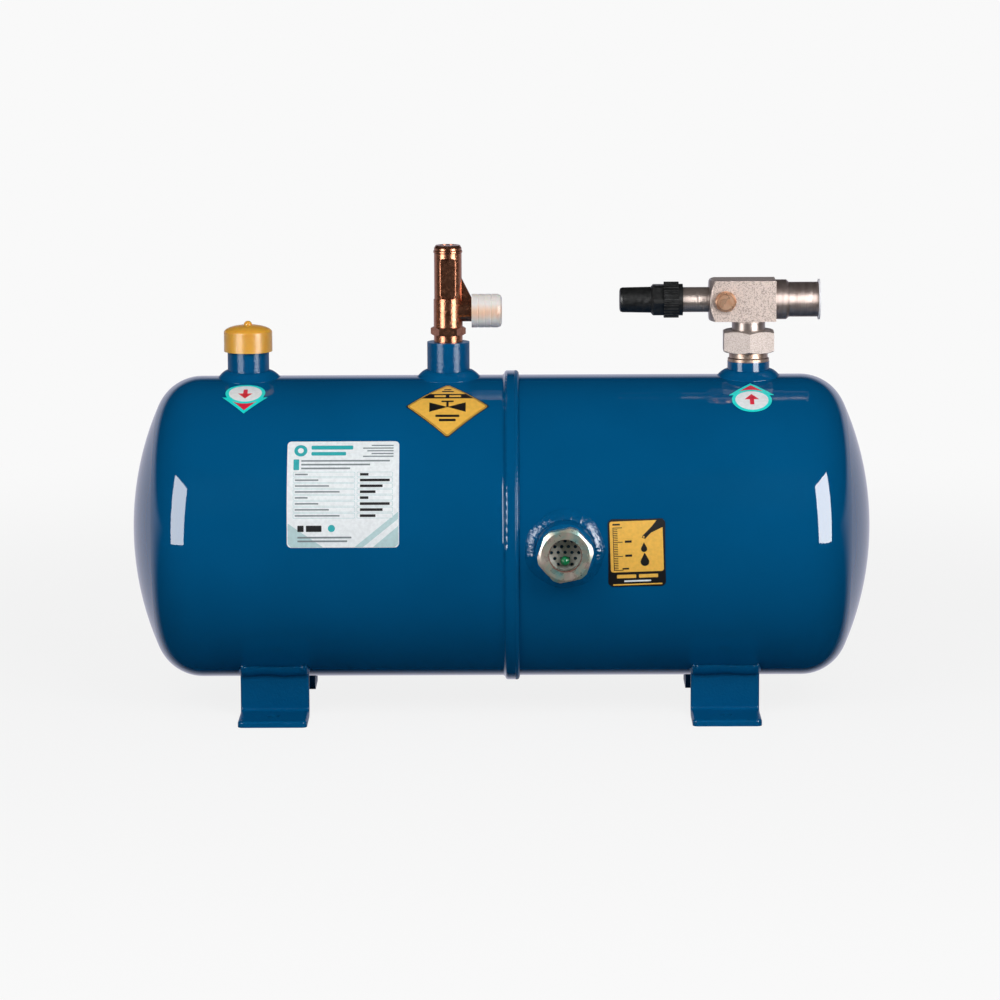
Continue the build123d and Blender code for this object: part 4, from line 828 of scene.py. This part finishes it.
for line in range(3):
    shapes.append((GREY, 1, block(-29.5, 22.8 - line * 2.9, 33 - line * 14, 24 - line * 2.9)))
for row in range(8):
    top = 14.9 - row * 4.25
    shapes.append((PALE, 1, block(-35.2, top - 3.7, 8.6, top, 0.9)))
    shapes.append((WHITE, 2, block(-34.9, top - 3.4, 8.3, top - 0.3, 0.7)))
    shapes.append((GREY, 3, block(-33.8, top - 2.4, -33.8 + 9 + 7.5 * ((row * 5) % 4), top - 1.3)))
    shapes.append((PALE, 1, block(9.8, top - 3.7, 35.2, top, 0.9)))
    shapes.append((WHITE, 2, block(10.1, top - 3.4, 34.9, top - 0.3, 0.7)))
    shapes.append((BLACK, 3, block(12, top - 2.8, 12 + 6 + 5 * ((row * 3) % 4), top - 0.9)))
for start, width in ((-32, 4.4), (-26, 11)):
    shapes.append((BLACK, 3, block(start, -28, start + width, -23.6, 0.5)))
shapes.append((TEAL, 3, oval(-8, -25.6, 2.5, 2.5, 32)))
for line in range(2):
    shapes.append((GREY, 3, block(-32, -32.6 - line * 2.6, 6 - line * 3, -31.4 - line * 2.6)))
print_label("data_label_print", data_x, data_angle, 0.0, shapes)

# Direction labels: clear film beside each port, printed with an oval on an arrow head that points
# in at the inlet and out at the outlet
for port, way in (("inlet", -1), ("outlet", 1)):
    low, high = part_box(f"{port}_arrow_label")
    label_x = (low.x + high.x) / 2
    centre = -way * 5.8
    wing_level = way * 0.3
    tip = way * 19.4
    shapes = [
        (CYAN, 0, [(-16.3, wing_level), (16.3, wing_level), (0, tip)]),
        (RED, 1, [(-12.8, wing_level), (12.8, wing_level), (0, tip - way * 3.6)]),
        (CYAN, 2, oval(0, centre, 14.3, 13.9)),
        (WHITE, 3, oval(0, centre, 11.8, 11.5)),
        (RED, 4, block(-1.5, centre - 5.5, 1.5, centre + 5.5)),
        (RED, 4, [(-5.2, centre + way * 0.6), (5.2, centre + way * 0.6), (0, centre + way * 7.6)]),
    ]
    print_label(f"{port}_arrow_print", label_x, radians(66), 0.0, shapes)


# Relief valve label: a yellow film cut to a diamond, stuck on the shell under the relief valve and
# printed with a black edge, a band and a plain valve sign
def diamond(half_width, half_height, corner):
    """A diamond's outline with its four corners cut a little."""
    across = corner
    up = corner * half_height / half_width
    return [
        (half_width - across, -up), (half_width - across, up),
        (across, half_height - up), (-across, half_height - up),
        (-half_width + across, up), (-half_width + across, -up),
        (-across, -half_height + up), (across, -half_height + up),
    ]


band_low, band_high = 9.6, 15.6
inner_width, inner_height = 27.6, 28.75
low_half = inner_width * (1 - band_low / inner_height)
high_half = inner_width * (1 - band_high / inner_height)
shapes = [
    (YELLOW, 0, diamond(28.9, 30.1, 0.9)),
    (BLACK, 1, diamond(28.2, 29.4, 0.6)),
    (YELLOW, 2, diamond(inner_width, inner_height, 0.5)),
    (BLACK, 3, [
        (-low_half, band_low), (low_half, band_low), (high_half, band_high), (-high_half, band_high),
    ]),
    (YELLOW, 4, block(-9.5, 11.4, -1.2, 13.8, 0.5)),
    (YELLOW, 4, block(1.2, 11.4, 9.5, 13.8, 0.5)),
    (BLACK, 3, block(-4.2, 18.4, 4.2, 20, 0.4)),
    (BLACK, 3, block(-2.6, 21.4, 2.6, 22.8, 0.4)),
    (BLACK, 3, [(-13, 4.6), (-13, -6.2), (0, -0.8)]),
    (BLACK, 3, [(13, 4.6), (13, -6.2), (0, -0.8)]),
    (BLACK, 3, block(-0.8, -0.8, 0.8, 5.4)),
    (BLACK, 3, block(-4.4, 5.0, 4.4, 6.8, 0.6)),
    (BLACK, 3, block(-8.5, -11.6, 8.5, -9.2, 0.5)),
    (BLACK, 3, block(-6, -15.8, 6, -13.4, 0.5)),
]
print_label("relief_label_print", relief_x, radians(59.6), 0.0, shapes)


# Level label: a dark film stuck on the front of the shell, printed with a yellow field that has a
# tick scale, a dropper and two drops, and with a dark foot below
def drop(across, up, radius):
    """A drop's outline, its point upwards."""
    outline = [(across, up + radius * 2.15)]
    for turn in range(15):
        angle = radians(148 + turn * 244 / 14)
        outline.append((across + radius * cos(angle), up + radius * sin(angle)))
    return outline


level_x = (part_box("level_label")[0].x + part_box("level_label")[1].x) / 2
shapes = [
    (BLACK, 0, block(-19.9, -24.1, 19.9, 24.1, 2.9)),
    (YELLOW, 1, block(-18.6, -13.3, 18.7, 23.0, 1.7)),
    (YELLOW, 1, block(-17.4, -23.2, 17.4, -22.2, 0.4)),
    (YELLOW, 1, block(-14.5, -17.8, -1, -15.2, 0.5)),
    (YELLOW, 1, block(1, -17.8, 14.5, -15.2, 0.5)),
    (WHITE, 1, block(-9.5, -20.7, 9.5, -19.5, 0.4)),
    (BLACK, 2, block(-16.5, -12.0, -16.1, 18.6)),
    (BLACK, 2, [
        (15.6, 24.0), (19.2, 24.0), (19.2, 18.2), (10.3, 14.2),
        (6.2, 10.1), (3.8, 11.0), (4.6, 12.6), (10.6, 18.2),
    ]),
    (YELLOW, 3, oval(5.2, 11.5, 0.6, 0.6, 16)),
    (BLACK, 2, drop(5.2, 3.0, 2.2)),
    (BLACK, 2, drop(5.5, -6.2, 3.1)),
    (BLACK, 2, block(-16.5, 20.2, -11.2, 21.4)),
    (BLACK, 2, block(-10.4, -11.4, -5.8, -10.2)),
    (BLACK, 2, block(-8.2, 7.8, -3.4, 9.4)),
    (BLACK, 2, block(-8.2, -2.2, -3.4, -0.6)),
]
for tick in range(25):
    long_tick = tick % 8 == 0
    up = -11.8 + tick * 1.26
    shapes.append((BLACK, 2, block(-16.5, up - 0.27, -9.8 if long_tick else -13.2, up + 0.27)))
print_label("level_label_print", level_x, radians(-1.5), radians(2), shapes)
